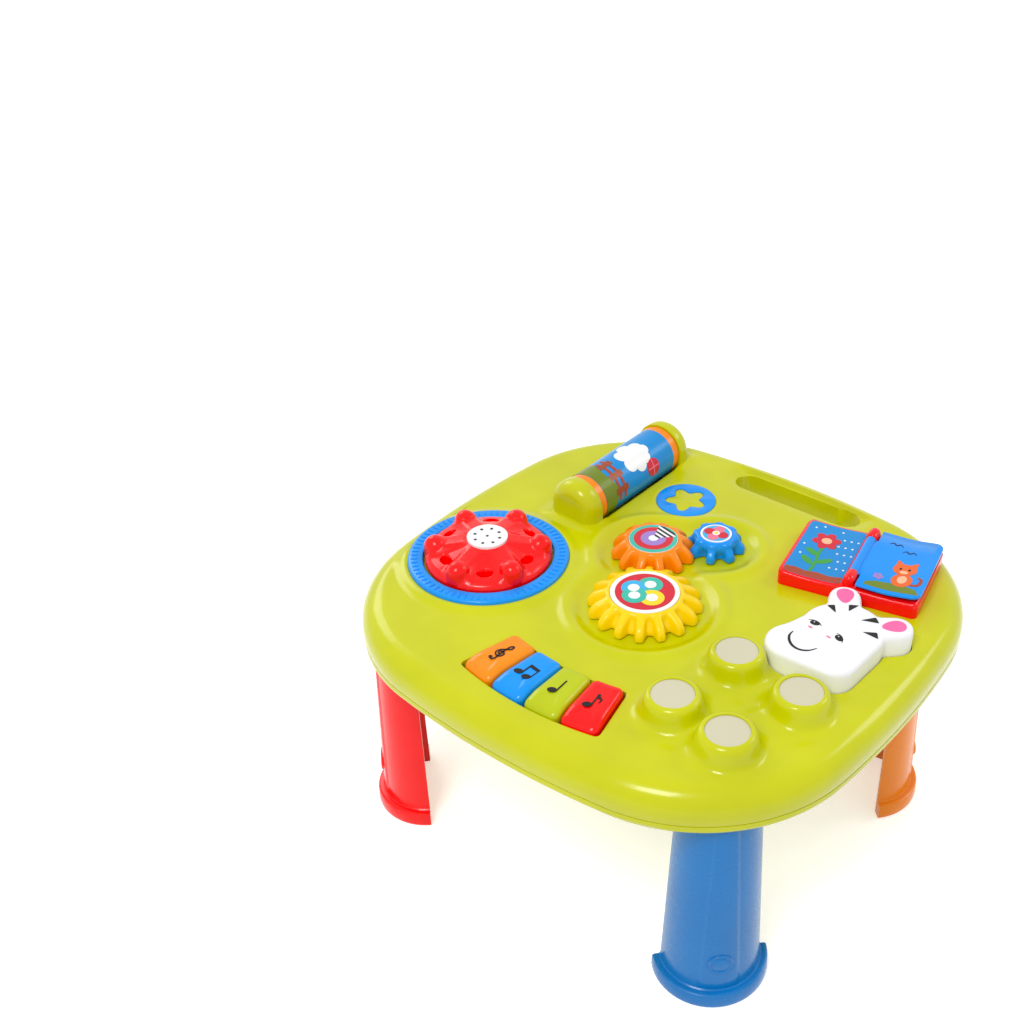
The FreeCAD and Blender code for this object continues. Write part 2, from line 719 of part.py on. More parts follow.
# bottom casing
def make_bottom_shell():
    pan = outline_block("bottom_outer", "0", BASE, "lower_casing_height")
    edge_fillet(pan, "bottom_outer_round", "lower_edge_radius", False)
    hollow = outline_block("bottom_inner", "wall", FLOOR, "lower_casing_height")
    lip = outline_block("lip_outer", "wall + static_gap", f"({FLOOR} - wall/2)",
                        f"{SEAM} + lip_height - {FLOOR} + wall/2")
    lip_bore = outline_block("lip_bore", "wall + static_gap + lip_thickness", FLOOR, "casing_thickness")
    added = [cut("pan_skin", pan, hollow), cut("pan_lip", lip, lip_bore)]
    removed = []
    for leg in LEGS:
        added.append(leg_half(f"{leg}_socket", "leg_plug_radius + static_gap + wall",
                              "leg_plug_radius + static_gap + wall",
                              "leg_plug_height + wall", leg, BASE))
        x, y, heading = LEGS[leg]
        back = f"({x}) - wall/2*cos({heading})", f"({y}) - wall/2*sin({heading})"
        added.append(centred_box(f"{leg}_socket_back", "wall", "2*(leg_plug_radius + static_gap + wall)",
                                 "leg_plug_height + wall", back[0], back[1], BASE, heading))
        removed.append(leg_half(f"{leg}_pocket", "leg_plug_radius + static_gap",
                                "leg_plug_radius + static_gap",
                                "leg_plug_height + static_gap + 1", leg, f"({BASE} - 1)"))
    for i, (x, y) in enumerate(SCREWS, start=1):
        added.append(at(cylinder(f"foot_post_{i}", "screw_boss_radius", f"{SEAM} + lip_height - {BASE}"), x,
                        y, BASE))
        removed.append(at(cylinder(f"foot_hole_{i}", "screw_radius + 2*static_gap", "casing_thickness"), x,
                          y,
                          f"({BASE} - 1)"))
        removed.append(at(cylinder(f"foot_sink_{i}", "screw_head_radius + 2*static_gap",
                                   "screw_head_height + 1.5"),
                          x, y, f"({BASE} - 1)"))

    # battery box with its door opening
    room_height = "(2*cell_radius + 1)"
    added.append(centred_box("cell_box", f"{DOOR_LENGTH} + 2*cell_box_wall",
                             f"{DOOR_WIDTH} + 2*cell_box_wall",
                             f"{room_height} + cell_box_wall + wall", "battery_across", "battery_setback",
                             BASE))
    removed.append(centred_box("cell_room", CELL_ROOM, CELL_ROOM_WIDTH, f"{room_height} + wall/2",
                               "battery_across", "battery_setback", f"({FLOOR} - wall/2)"))
    removed.append(centred_box("door_opening", f"{DOOR_LENGTH} + 2*static_gap",
                               f"{DOOR_WIDTH} + 2*static_gap", "wall + 1",
                               "battery_across", "battery_setback", f"({BASE} - 1)"))
    removed.append(at(cylinder("door_pilot", PILOT, "9"), f"battery_across + {CELL_ROOM}/2 + door_margin/2",
                      "battery_setback", BASE))

    # speaker seat with its sound holes
    added.append(at(cylinder("speaker_seat", "speaker_radius + static_gap + cell_box_wall",
                             "speaker_depth"),
                    "speaker_across", "speaker_setback", f"({FLOOR} - wall/2)"))
    removed.append(at(cylinder("speaker_room", "speaker_radius + static_gap", "speaker_depth"),
                      "speaker_across", "speaker_setback", FLOOR))
    for i in range(9):
        circle = "speaker_hole_circle" if i else "0"
        removed.append(at(cylinder(f"speaker_hole_{i}", "speaker_hole_radius", "2*wall"),
                          f"speaker_across + {circle}*cos({i * 45})",
                          f"speaker_setback + {circle}*sin({i * 45})",
                          f"({BASE} - wall/2)"))

    # stand-offs for the main board and the key board
    for i, (u, v) in enumerate([(-1, -1), (1, -1), (-1, 1), (1, 1)], start=1):
        added.append(at(cylinder(f"board_post_{i}", "2.5", "board_standoff + wall/2"),
                        f"main_board_across + {u}*(main_board_width/2 - 4)",
                        f"main_board_setback + {v}*(main_board_depth/2 - 4)", f"({FLOOR} - wall/2)"))
    for i, place in enumerate((0.15, 1.5, 2.5, 3.85), start=1):
        heading = key_angle(place)
        added.append(at(cylinder(f"key_board_post_{i}", "2.2",
                                 f"{KEY_BOARD_TOP} - board_thickness - {FLOOR} + wall/2"),
                        f"key_arc_across + ({NUB_RADIUS} + 8)*cos({heading})",
                        f"key_arc_setback + ({NUB_RADIUS} + 8)*sin({heading})", f"({FLOOR} - wall/2)"))

    # sleeve that guides the head button, and the switch slot
    added.append(at(cylinder("head_sleeve", "head_stem_radius + running_gap + head_sleeve_wall",
                             "head_sleeve_height + wall/2"), "head_across", "head_setback",
                    f"({FLOOR} - wall/2)"))
    removed.append(at(cylinder("head_sleeve_bore", "head_stem_radius + running_gap", "casing_thickness"),
                      "head_across", "head_setback", FLOOR))
    removed.append(centred_box("switch_slot", "switch_knob_length + switch_travel + 2*moving_gap",
                               "switch_knob_width + moving_gap", "2*wall", "switch_across",
                               "switch_setback",
                               f"({BASE} - wall/2)"))
    added.append(handle_block("handle_sleeve_bottom", "wall", BASE, SEAM))
    removed.append(handle_block("handle_slot_bottom", "0", f"({BASE} - 1)", f"({SEAM} + 2)"))
    part("bottom_shell", cut("bottom_shell_solid", fuse("bottom_sum", *added), *removed))


def make_fasteners():
    screws = []
    for i, (x, y) in enumerate(SCREWS, start=1):
        low = f"({BASE} + 0.5)"
        head = at(cylinder(f"case_screw_head_{i}", "screw_head_radius", "screw_head_height"), x, y, low)
        shank = at(cylinder(f"case_screw_shank_{i}", "screw_radius", "16"), x, y, low)
        screws.append(fuse(f"case_screw_{i}", head, shank))
    part("case_screws", compound("case_screw_set", screws))
    gear_screws, washers = [], []
    for colour, ((x, y), teeth, badge) in GEARS.items():
        head = at(cylinder(f"{colour}_screw_head", "screw_head_radius", "screw_head_height"), x, y,
                  f"{POST_TOP} + gear_washer_thickness")
        shank = at(cylinder(f"{colour}_screw_shank", "screw_radius", "6.5 + gear_washer_thickness"), x, y,
                   f"{POST_TOP} - 6.5")
        gear_screws.append(fuse(f"{colour}_screw", head, shank))
        ring = at(cylinder(f"{colour}_washer_disc", "gear_washer_radius", "gear_washer_thickness"), x, y,
                  POST_TOP)
        hole = at(cylinder(f"{colour}_washer_hole", PILOT, "3"), x, y, f"({POST_TOP} - 1)")
        washers.append(cut(f"{colour}_washer", ring, hole))
    part("gear_screws", compound("gear_screw_set", gear_screws))
    part("gear_washers", compound("gear_washer_set", washers))
    x = f"battery_across + {CELL_ROOM}/2 + door_margin/2"
    head = at(cylinder("door_screw_head", "screw_head_radius", "screw_head_height"), x, "battery_setback",
              f"({BASE} + 0.3)")
    shank = at(cylinder("door_screw_shank", "screw_radius", "8"), x, "battery_setback", f"({BASE} + 0.3)")
    part("battery_door_screw", fuse("door_screw_solid", head, shank))


def compound(name, shapes):
    feature = doc.addObject("Part::Compound", name)
    feature.Links = shapes
    return feature


def make_battery_parts():
    door = centred_box("door_plate", DOOR_LENGTH, DOOR_WIDTH, "wall", "battery_across", "battery_setback",
                       BASE)
    x = f"battery_across + {CELL_ROOM}/2 + door_margin/2"
    sink = at(cylinder("door_sink", "screw_head_radius + static_gap", "0.3 + screw_head_height + 1"), x,
              "battery_setback", f"({BASE} - 1)")
    hole = at(cylinder("door_hole", "screw_radius + static_gap", "2*wall"), x, "battery_setback",
              f"({BASE} - 1)")
    part("battery_door", cut("door_solid", door, sink, hole))
    for i in range(3):
        y = f"battery_setback + {i - 1}*cell_pitch"
        level_z = f"{FLOOR} + cell_radius + 0.1"
        flip = 1 if i % 2 == 0 else -1
        start = f"battery_across - {flip}*cell_length/2"
        can = at(cylinder(f"cell_{i}_can", "cell_radius", "cell_length - cell_button_height"), start, y,
                 level_z,
                 90 * flip, (0, 1, 0))
        button = at(cylinder(f"cell_{i}_button", "cell_button_radius", "cell_length"), start, y, level_z,
                    90 * flip, (0, 1, 0))
        part(f"battery_{i + 1}", fuse(f"cell_{i}", can, button))
    plates = []
    for tag, sign in (("left", -1), ("right", 1)):
        plates.append(centred_box(f"contact_{tag}", "contact_thickness", f"{CELL_ROOM_WIDTH} - 1", "10",
                                  f"battery_across + {sign}*({CELL_ROOM}/2 - contact_thickness/2)",
                                  "battery_setback", f"({FLOOR} + 2)"))
    for i in range(3):
        for sign in (-1, 1):
            y = f"battery_setback + {i - 1}*cell_pitch"
            nub = cone(f"contact_nub_{i}_{sign + 1}", "3.4", "2.2",
                       "cell_box_gap - contact_thickness - 0.1")
            plates.append(at(nub, f"battery_across + {sign}*({CELL_ROOM}/2 - contact_thickness)", y,
                             f"{FLOOR} + cell_radius + 0.1", -90 * sign, (0, 1, 0)))
    part("battery_contacts", compound_of_fused("contact_set", plates))


def compound_of_fused(name, shapes):
    """Each end plate joined with its own three spring cones."""
    left = [shapes[0]] + shapes[2::2]
    right = [shapes[1]] + shapes[3::2]
    return compound(name, [fuse(name + "_left", *left), fuse(name + "_right", *right)])


def make_legs():
    for leg, (x, y, heading) in LEGS.items():
        skin = leg_half(f"{leg}_outer", "leg_foot_radius", "leg_top_radius", BASE, leg, "0")
        plug = leg_half(f"{leg}_plug", "leg_plug_radius", "leg_plug_radius",
                        "leg_plug_height + leg_cap_thickness", leg,
                        f"({BASE} - leg_cap_thickness)")
        flange = leg_half(f"{leg}_flange", "foot_flange_radius", "foot_flange_radius - 0.8",
                          "foot_flange_height", leg, "0")
        slope = "((leg_foot_radius - leg_top_radius)/(top_height - casing_thickness))"
        reach = f"(leg_foot_radius - leg_boss_height*{slope})"
        disc = cylinder(f"{leg}_disc", "leg_boss_radius", "leg_wall + leg_boss_thickness")
        start = f"{reach} - leg_wall"
        spin = f"rotation(vector(0; 0; 1); {heading}) * rotation(vector(0; 1; 0); 90)"
        disc.setExpression("Placement", sized(f"placement(vector(({x}) + ({start})*cos({heading}); "
                                              f"({y}) + ({start})*sin({heading}); leg_boss_height); {spin})"))
        hollow = leg_half(f"{leg}_hollow", f"leg_foot_radius - leg_wall + {slope}",
                          "leg_top_radius - leg_wall",
                          f"{BASE} - leg_cap_thickness + 1", leg, "-1")
        blind = leg_half(f"{leg}_blind", "leg_plug_radius - leg_wall", "leg_plug_radius - leg_wall",
                         "leg_plug_height - leg_wall", leg, BASE)
        part(leg, cut(f"{leg}_solid", fuse(f"{leg}_sum", skin, plug, flange, disc), hollow, blind))


def make_wheel():
    wheel = ("wheel_across", "wheel_setback")
    low = f"({TOP} + moving_gap)"
    ring = at(cylinder("tick_ring_disc", "tick_ring_radius", "tick_ring_height"), *wheel, TOP)
    bore = at(cylinder("tick_ring_hole", "tick_ring_bore", "tick_ring_height + 2"), *wheel, f"({TOP} - 1)")
    part("tick_ring", cut("tick_ring_solid", ring, bore))
    rim = doc.addObject("Part::Torus", "wheel_rim")
    bind(rim, Radius1="wheel_radius - wheel_rim_radius", Radius2="wheel_rim_radius")
    at(rim, *wheel, f"{low} + wheel_rim_radius")
    solids = [rim, at(cylinder("wheel_dish", "wheel_radius - wheel_rim_radius", "wheel_dish_thickness"),
                      *wheel, low)]
    solids.append(at(cone("wheel_hub", "wheel_hub_radius + 4", "hub_cap_radius + 1.7",
                          "wheel_hub_height - moving_gap"),
                     *wheel, low))
    solids.append(at(cylinder("wheel_shaft", "wheel_shaft_radius", f"{low} + 1 - {UNDER} + 4"), *wheel,
                     f"({UNDER} - 4)"))
    for i in range(s["wheel_spokes"]):
        turn = f"wheel_turn + 360/wheel_spokes*{i}"
        spoke = doc.addObject("Part::Wedge", f"wheel_spoke_{i}")
        bind(spoke, Xmin="-spoke_width/2 - 1.5", Xmax="spoke_width/2 + 1.5", X2min="-spoke_width/2",
             X2max="spoke_width/2",
             Ymin="8", Ymax="wheel_radius - 2", Zmin="0", Zmax="wheel_hub_height - 2 - moving_gap",
             Z2min="0", Z2max="spoke_end_height - moving_gap")
        solids.append(at(spoke, *wheel, low, f"{turn} - 90"))
        grip = doc.addObject("Part::Sphere", f"wheel_grip_{i}")
        bind(grip, Radius="grip_radius")
        reach = "(wheel_radius - grip_radius + 1.5)"
        solids.append(at(grip, f"wheel_across + {reach}*cos({turn})",
                         f"wheel_setback + {reach}*sin({turn})",
                         f"{low} + spoke_end_height - grip_radius + 1.5"))
    seat = at(cylinder("hub_cap_seat", "hub_cap_radius + static_gap", "3"), *wheel,
              f"({TOP} + wheel_hub_height - hub_cap_thickness/2)")
    pilot = at(cylinder("wheel_pilot", PILOT, "10"), *wheel, f"({UNDER} - 5)")
    part("steering_wheel", cut("wheel_solid", fuse("wheel_sum", *solids), seat, pilot))
    cap = at(cylinder("hub_cap_disc", "hub_cap_radius", "hub_cap_thickness"), *wheel,
             f"({TOP} + wheel_hub_height - hub_cap_thickness/2)")
    holes = []
    for i in range(s["hub_cap_holes"] + 1):
        circle = "hub_cap_hole_circle" if i else "0"
        turn = f"(360/hub_cap_holes*{i} + 22.5)"
        holes.append(at(cylinder(f"hub_cap_hole_{i}", "hub_cap_hole_radius", "3*hub_cap_thickness"),
                        f"wheel_across + {circle}*cos({turn})", f"wheel_setback + {circle}*sin({turn})",
                        f"({TOP} + wheel_hub_height - hub_cap_thickness)"))
    part("hub_cap", cut("hub_cap_solid", cap, *holes))
    washer = at(cylinder("retainer_disc", "retainer_radius", "retainer_thickness"), *wheel,
                f"({UNDER} - 4 - retainer_thickness)")
    washer_hole = at(cylinder("retainer_hole", PILOT, "10"), *wheel, f"({UNDER} - 8)")
    part("wheel_retainer", cut("retainer_solid", washer, washer_hole))
    head = at(cylinder("wheel_screw_head", "screw_head_radius", "screw_head_height"), *wheel,
              f"({UNDER} - 4 - retainer_thickness - screw_head_height)")
    shank = at(cylinder("wheel_screw_shank", "screw_radius", "screw_head_height + retainer_thickness + 5"),
               *wheel,
               f"({UNDER} - 4 - retainer_thickness - screw_head_height)")
    part("wheel_screw", fuse("wheel_screw_solid", head, shank))


def tooth(name, teeth, x, y, turn):
    """One tooth: a tapered rib that slopes down to its tip."""
    root = f"(gear_module*{teeth}/2 - tooth_dedendum)"
    rib = doc.addObject("Part::Wedge", name)
    bind(rib, Ymin=f"{root} - 1.5", Ymax=tip_radius(teeth), Xmin="-tooth_root_width/2",
         Xmax="tooth_root_width/2",
         X2min="-tooth_tip_width/2", X2max="tooth_tip_width/2", Zmin="0", Zmax="gear_height - 1.5",
         Z2min="0", Z2max="tooth_edge_height")
    return at(rib, x, y, GEAR_LOW, f"{turn} - 90")


def make_gears():
    orange_start = "(train_turn + 180 + 180/orange_teeth)"
    starts = {
        "yellow": "train_turn",
        "orange": orange_start,
        "blue": f"(blue_turn + 180 - ({orange_start} - blue_turn)*orange_teeth/blue_teeth + 180/blue_teeth)",
    }
    for colour, ((x, y), teeth, badge) in GEARS.items():
        root = f"(gear_module*{teeth}/2 - tooth_dedendum)"
        crown = f"({badge} + gear_rim)"
        solids = [at(cone(f"{colour}_body", root, crown, "gear_height"), x, y, GEAR_LOW)]
        for i in range(s[teeth]):
            solids.append(tooth(f"{colour}_tooth_{i}", teeth, x, y,
                                f"({starts[colour]} + 360/{teeth}*{i})"))
        hollow = at(cone(f"{colour}_hollow", f"{root} - gear_wall", f"{crown} - gear_wall",
                         "gear_height - gear_wall - 1.2"),
                    x, y, GEAR_LOW)
        hub = at(cylinder(f"{colour}_hub", "gear_hub_radius", "gear_height - 1.5"), x, y, GEAR_LOW)
        bored = cut(f"{colour}_shell", fuse(f"{colour}_sum", *solids), hollow)
        bore = at(cylinder(f"{colour}_bore", "gear_post_radius + running_gap", "2*gear_height"), x, y,
                  f"({GEAR_LOW} - 1)")
        room = at(cylinder(f"{colour}_room", "gear_washer_radius + 0.3", "gear_height"), x, y,
                  f"({POST_TOP} - 0.3)")
        seat = at(cylinder(f"{colour}_seat", f"{badge} + static_gap", "badge_thickness + 1"), x, y,
                  f"({GEAR_LOW} + gear_height - badge_thickness)")
        part(f"gear_{colour}", cut(f"{colour}_gear", fuse(f"{colour}_with_hub", bored, hub), bore, room,
                                   seat))
        part(f"badge_{colour}", at(cylinder(f"{colour}_badge", badge, "badge_thickness"), x, y,
                                   f"({GEAR_LOW} + gear_height - badge_thickness)"))


def make_roller():
    drum_length = "(roller_length - 2*roller_ring_width)"
    tube = along_y(cylinder("roller_tube", "roller_radius", drum_length), "roller_across",
                   "roller_setback + roller_length/2 - roller_ring_width", ROLLER_LEVEL, True)
    bore = along_y(cylinder("roller_bore", "roller_radius - roller_wall", "roller_length"), "roller_across",
                   "roller_setback + roller_length/2", ROLLER_LEVEL, True)
    part("roller_drum", cut("roller_drum_solid", tube, bore))
    for tag, (y, forward) in CHEEKS.items():
        inward = "+ moving_gap" if forward else "- moving_gap"
        ring = along_y(cylinder(f"roller_ring_{tag}", "roller_radius", "roller_ring_width"),
                       "roller_across",
                       f"{y} {inward}", ROLLER_LEVEL, not forward)
        plug = along_y(cylinder(f"roller_plug_{tag}", "roller_radius - roller_wall - static_gap",
                                "roller_ring_width + 3"),
                       "roller_across", f"{y} {inward}", ROLLER_LEVEL, not forward)
        pin = along_y(cylinder(f"roller_pin_{tag}", "roller_pin_radius", "9"), "roller_across",
                      f"{y} {inward}", ROLLER_LEVEL, forward)
        part(f"roller_cap_{tag}", fuse(f"roller_cap_{tag}_solid", ring, plug, pin))


def make_star_badge():
    disc = at(cylinder("star_disc", "star_badge_radius", "inlay_depth"), "star_across", "star_setback",
              f"({TOP} - inlay_depth)")
    points = []
    for i in range(5):
        ray = doc.addObject("Part::Wedge", f"star_ray_{i}")
        bind(ray, Xmin="-star_radius*0.5", Xmax="star_radius*0.5", X2min="-star_tip", X2max="star_tip",
             Ymin="0", Ymax="star_radius",
             Zmin="0", Zmax="inlay_depth + 2", Z2min="0", Z2max="inlay_depth + 2")
        points.append(at(ray, "star_across", "star_setback", f"({TOP} - inlay_depth - 1)", 72 * i + 70))
    part("star_badge", cut("star_badge_solid", disc, fuse("star_cutter", *points)))


def make_keys():
    for i, label in enumerate(KEYS):
        slack = "(key_gap/2*180/(pi*key_front_radius))"
        low = "(top_height - key_skirt)"
        x, y = "key_arc_across", "key_arc_setback"
        fan = at(cylinder(f"{label}_fan", "key_front_radius", "key_skirt + key_rise",
                          f"key_span/4 - 2*{slack}"),
                 x, y, low, f"{key_angle(i)} + {slack}")
        core = at(cylinder(f"{label}_core", "key_back_radius", "2*key_skirt + key_rise"), x, y,
                  f"({low} - 2)")
        block = rounded(f"{label}_block", cut(f"{label}_sector", fan, core), "key_round", key_top_edges())
        hollow_x, hollow_y, heading = key_place(i, "(key_front_radius + key_back_radius)/2", "0")
        hollow = centred_box(f"{label}_hollow", "key_front_radius - key_back_radius - 2*wall",
                             "2*key_arm_half_width",
                             "key_skirt + key_rise - wall", hollow_x, hollow_y, low, heading)
        arm_x, arm_y, heading = key_place(i, f"({KEY_PIVOT} + key_back_radius)/2 + wall/2", "0")
        arm = centred_box(f"{label}_arm", "key_pivot_setback + wall", "2*key_arm_half_width",
                          "key_arm_thickness", arm_x, arm_y, "top_height - key_pivot_drop - key_pin_radius",
                          heading)
        bar = key_pin(f"{label}_bar", i, "0", "key_arm_half_width + moving_gap + key_bracket_thickness")
        nub_x, nub_y, heading = key_place(i, NUB_RADIUS, "0")
        nub = at(cylinder(f"{label}_nub", "key_nub_radius", "key_nub_length + key_skirt + key_rise - 1"),
                 nub_x, nub_y,
                 f"({low} - key_nub_length)")
        part(label, fuse(f"{label}_solid", cut(f"{label}_cup", block, hollow), arm, bar, nub))


def key_top_edges():
    height = s["top_height"] + s["key_rise"]

    def wanted(edge):
        return level(edge, height)
    return wanted


def make_key_board():
    low = f"({KEY_BOARD_TOP} - board_thickness)"
    span = "(key_span - 1)"
    x, y = "key_arc_across", "key_arc_setback"
    for label, bottom, thick, inner, outer in (
            ("key_board", low, "board_thickness", f"{NUB_RADIUS} - 12", f"{NUB_RADIUS} + 12"),
            ("key_contact_strip", KEY_BOARD_TOP, "strip_thickness", f"{NUB_RADIUS} - 5",
             f"{NUB_RADIUS} + 5")):
        fan = at(cylinder(f"{label}_fan", outer, thick, span), x, y, bottom, f"-90 - {span}/2")
        core = at(cylinder(f"{label}_core", inner, f"{thick} + 2"), x, y, f"({bottom} - 1)")
        plate = cut(f"{label}_plate", fan, core)
        if label == "key_contact_strip":
            domes = []
            for i in range(4):
                dome_x, dome_y, heading = key_place(i, NUB_RADIUS, "0")
                domes.append(at(cone(f"strip_dome_{i}", "3.4", "2.4",
                                     "strip_dome_height + strip_thickness/2"),
                                dome_x, dome_y, f"({KEY_BOARD_TOP} + strip_thickness/2)"))
            plate = fuse(f"{label}_solid", plate, *domes)
        part(label, plate)


def make_lamps():
    face = f"({TOP} + boss_height - lens_thickness)"
    leds = []
    for i, (x, y) in enumerate(LENSES, start=1):
        disc = at(cylinder(f"lens_{i}_disc", "lens_radius", "lens_thickness"), x, y, face)
        flange = at(cylinder(f"lens_{i}_flange", "lens_radius + lens_flange", "lens_thickness"), x, y,
                    f"({face} - lens_thickness)")
        part(f"lens_{i}", fuse(f"lens_{i}_solid", disc, flange))
        body = at(cylinder(f"led_{i}_body", "led_radius", "led_body_height"), x, y,
                  f"({LAMP_BOARD} + board_thickness)")
        dome = doc.addObject("Part::Sphere", f"led_{i}_dome")
        bind(dome, Radius="led_radius")
        at(dome, x, y, f"({LAMP_BOARD} + board_thickness + led_body_height)")
        leds.append(fuse(f"led_{i}", body, dome))
    part("lamp_leds", compound("led_set", leds))
    low_x, high_x, low_y, high_y = lamp_edges()
    board = at(box("lamp_board_plate", f"{high_x} - {low_x} + 2*lamp_board_margin",
                   f"{high_y} - {low_y} + 2*lamp_board_margin",
                   "board_thickness"), f"{low_x} - lamp_board_margin", f"{low_y} - lamp_board_margin",
               LAMP_BOARD)
    part("lamp_board", board)


def make_head_button():
    head_height = f"({TOP} + head_rise - {HEAD_FLANGE_LOW})"
    plate = head_plate("head_block", "0", HEAD_FLANGE_LOW, head_height)
    doc.recompute()
    plate = rounded("head_round_block", plate, "head_round",
                    lambda edge: level(edge, top_height + s["head_rise"]))
    bars = [centred_box("head_bar", "2*(head_radius + moving_gap + head_flange_margin)",
                        "head_flange_width",
                        "head_flange_thickness", "head_across", "head_setback", HEAD_FLANGE_LOW),
            centred_box("muzzle_bar", "2*(muzzle_radius + moving_gap + head_flange_margin)",
                        "head_flange_width",
                        "head_flange_thickness", "head_across + muzzle_across",
                        "head_setback + muzzle_setback",
                        HEAD_FLANGE_LOW)]
    stem = at(cylinder("head_stem", "head_stem_radius",
                       f"{HEAD_FLANGE_LOW} + 1 - {FLOOR} - head_stem_lift"),
              "head_across", "head_setback", f"({FLOOR} + head_stem_lift)")
    hollow = head_plate("head_hollow", "-wall", f"({HEAD_FLANGE_LOW} - 1)",
                        f"({TOP} + head_rise - wall - {HEAD_FLANGE_LOW} + 1)")
    stem.setExpression("Height", sized(f"{TOP} + head_rise - wall/2 - {FLOOR} - head_stem_lift"))
    part("animal_head_button", fuse("head_button_solid", cut("head_cap", plate, hollow), *bars, stem))
    contact = at(cylinder("head_contact_disc", "head_stem_radius - 0.5",
                          "head_stem_lift - head_travel - 0.2"),
                 "head_across", "head_setback", FLOOR)
    part("head_contact", contact)
    helix = doc.addObject("Part::Helix", "head_spring_line")
    rise = f"({HEAD_FLANGE_LOW} - {FLOOR} - 2*head_spring_wire - 0.1)"
    bind(helix, Pitch=f"{rise}/head_spring_turns", Height=rise, Radius="head_spring_radius")
    at(helix, "head_across", "head_setback", f"({FLOOR} + head_spring_wire + 0.05)")
    wire = doc.addObject("Part::Circle", "head_spring_section")
    bind(wire, Radius="head_spring_wire")
    at(wire, "head_across + head_spring_radius", "head_setback", f"({FLOOR} + head_spring_wire + 0.05)", 90,
       (1, 0, 0))
    sweep = doc.addObject("Part::Sweep", "head_spring_wire")
    doc.recompute()
    sweep.Sections = [wire]
    sweep.Spine = (helix, [])
    sweep.Solid = True
    sweep.Frenet = True
    part("head_spring", sweep)


def make_book():
    half = "(book_width/2)"
    base = book_block("book_plate", "book_width", "book_depth", "book_base_thickness", "0", "0", TOP)
    base = rounded("book_plate_round", base, "book_corner",
                   lambda edge: edge.Length < s["book_base_thickness"] + 0.1)
    groove = book_block("book_groove", "2*(book_knuckle_radius + moving_gap)", "book_depth + 2",
                        "book_base_thickness",
                        "0", "0", f"({BOOK_AXIS} - book_knuckle_radius - moving_gap)")
    inlay = book_block("book_inlay_room", f"{half} - book_spine_gap - 2*book_leaf_margin + 2*static_gap",
                       "book_depth - 2*book_leaf_margin + 2*static_gap", "3",
                       f"-{half}/2 - book_spine_gap/2", "0", f"({BOOK_TOP} - inlay_depth)")
    knuckles, pin_holes = [], []
    for tag, sign in (("front", -1), ("back", 1)):
        place = f"{sign}*(book_tongue_width/2 + moving_gap + book_knuckle_length/2)"
        knuckles.append(book_rod(f"book_knuckle_{tag}", "book_knuckle_radius", "book_knuckle_length", "0",
                                 place, BOOK_AXIS))
        knuckles.append(book_block(f"book_knuckle_foot_{tag}", "2*book_knuckle_radius",
                                   "book_knuckle_length",
                                   f"{BOOK_AXIS} - {TOP} - 1", "0", place, f"({TOP} + 1)"))
    pin_holes.append(book_rod("book_pin_hole", "book_pin_radius + running_gap", "book_depth", "0", "0",
                              BOOK_AXIS))
    carved = cut("book_carved", base, groove, inlay)
    part("book_base", cut("book_base_solid", fuse("book_base_sum", carved, *knuckles), *pin_holes))
    part("book_picture", book_block("book_picture_plate", f"{half} - book_spine_gap - 2*book_leaf_margin",
                                    "book_depth - 2*book_leaf_margin", "inlay_depth",
                                    f"-{half}/2 - book_spine_gap/2", "0", f"({BOOK_TOP} - inlay_depth)"))
    low = f"({BOOK_AXIS} - book_leaf_thickness/2)"
    leaf = book_block("book_leaf_plate", f"{half} - book_spine_gap", "book_depth - book_leaf_margin",
                      "book_leaf_thickness",
                      f"{half}/2 + book_spine_gap/2", "0", low)
    tongue = book_block("book_tongue", "book_spine_gap + 1", "book_tongue_width", "book_leaf_thickness",
                        "(book_spine_gap + 1)/2", "0", low)
    barrel = book_rod("book_barrel", "book_knuckle_radius", "book_tongue_width", "0", "0", BOOK_AXIS)
    bore = book_rod("book_barrel_bore", "book_pin_radius + running_gap", "book_depth", "0", "0", BOOK_AXIS)
    part("book_leaf", cut("book_leaf_solid", fuse("book_leaf_sum", leaf, tongue, barrel), bore))
    part("book_pin", book_rod("book_pin_rod", "book_pin_radius",
                              "book_tongue_width + 2*book_knuckle_length + 2*moving_gap",
                              "0", "0", BOOK_AXIS))


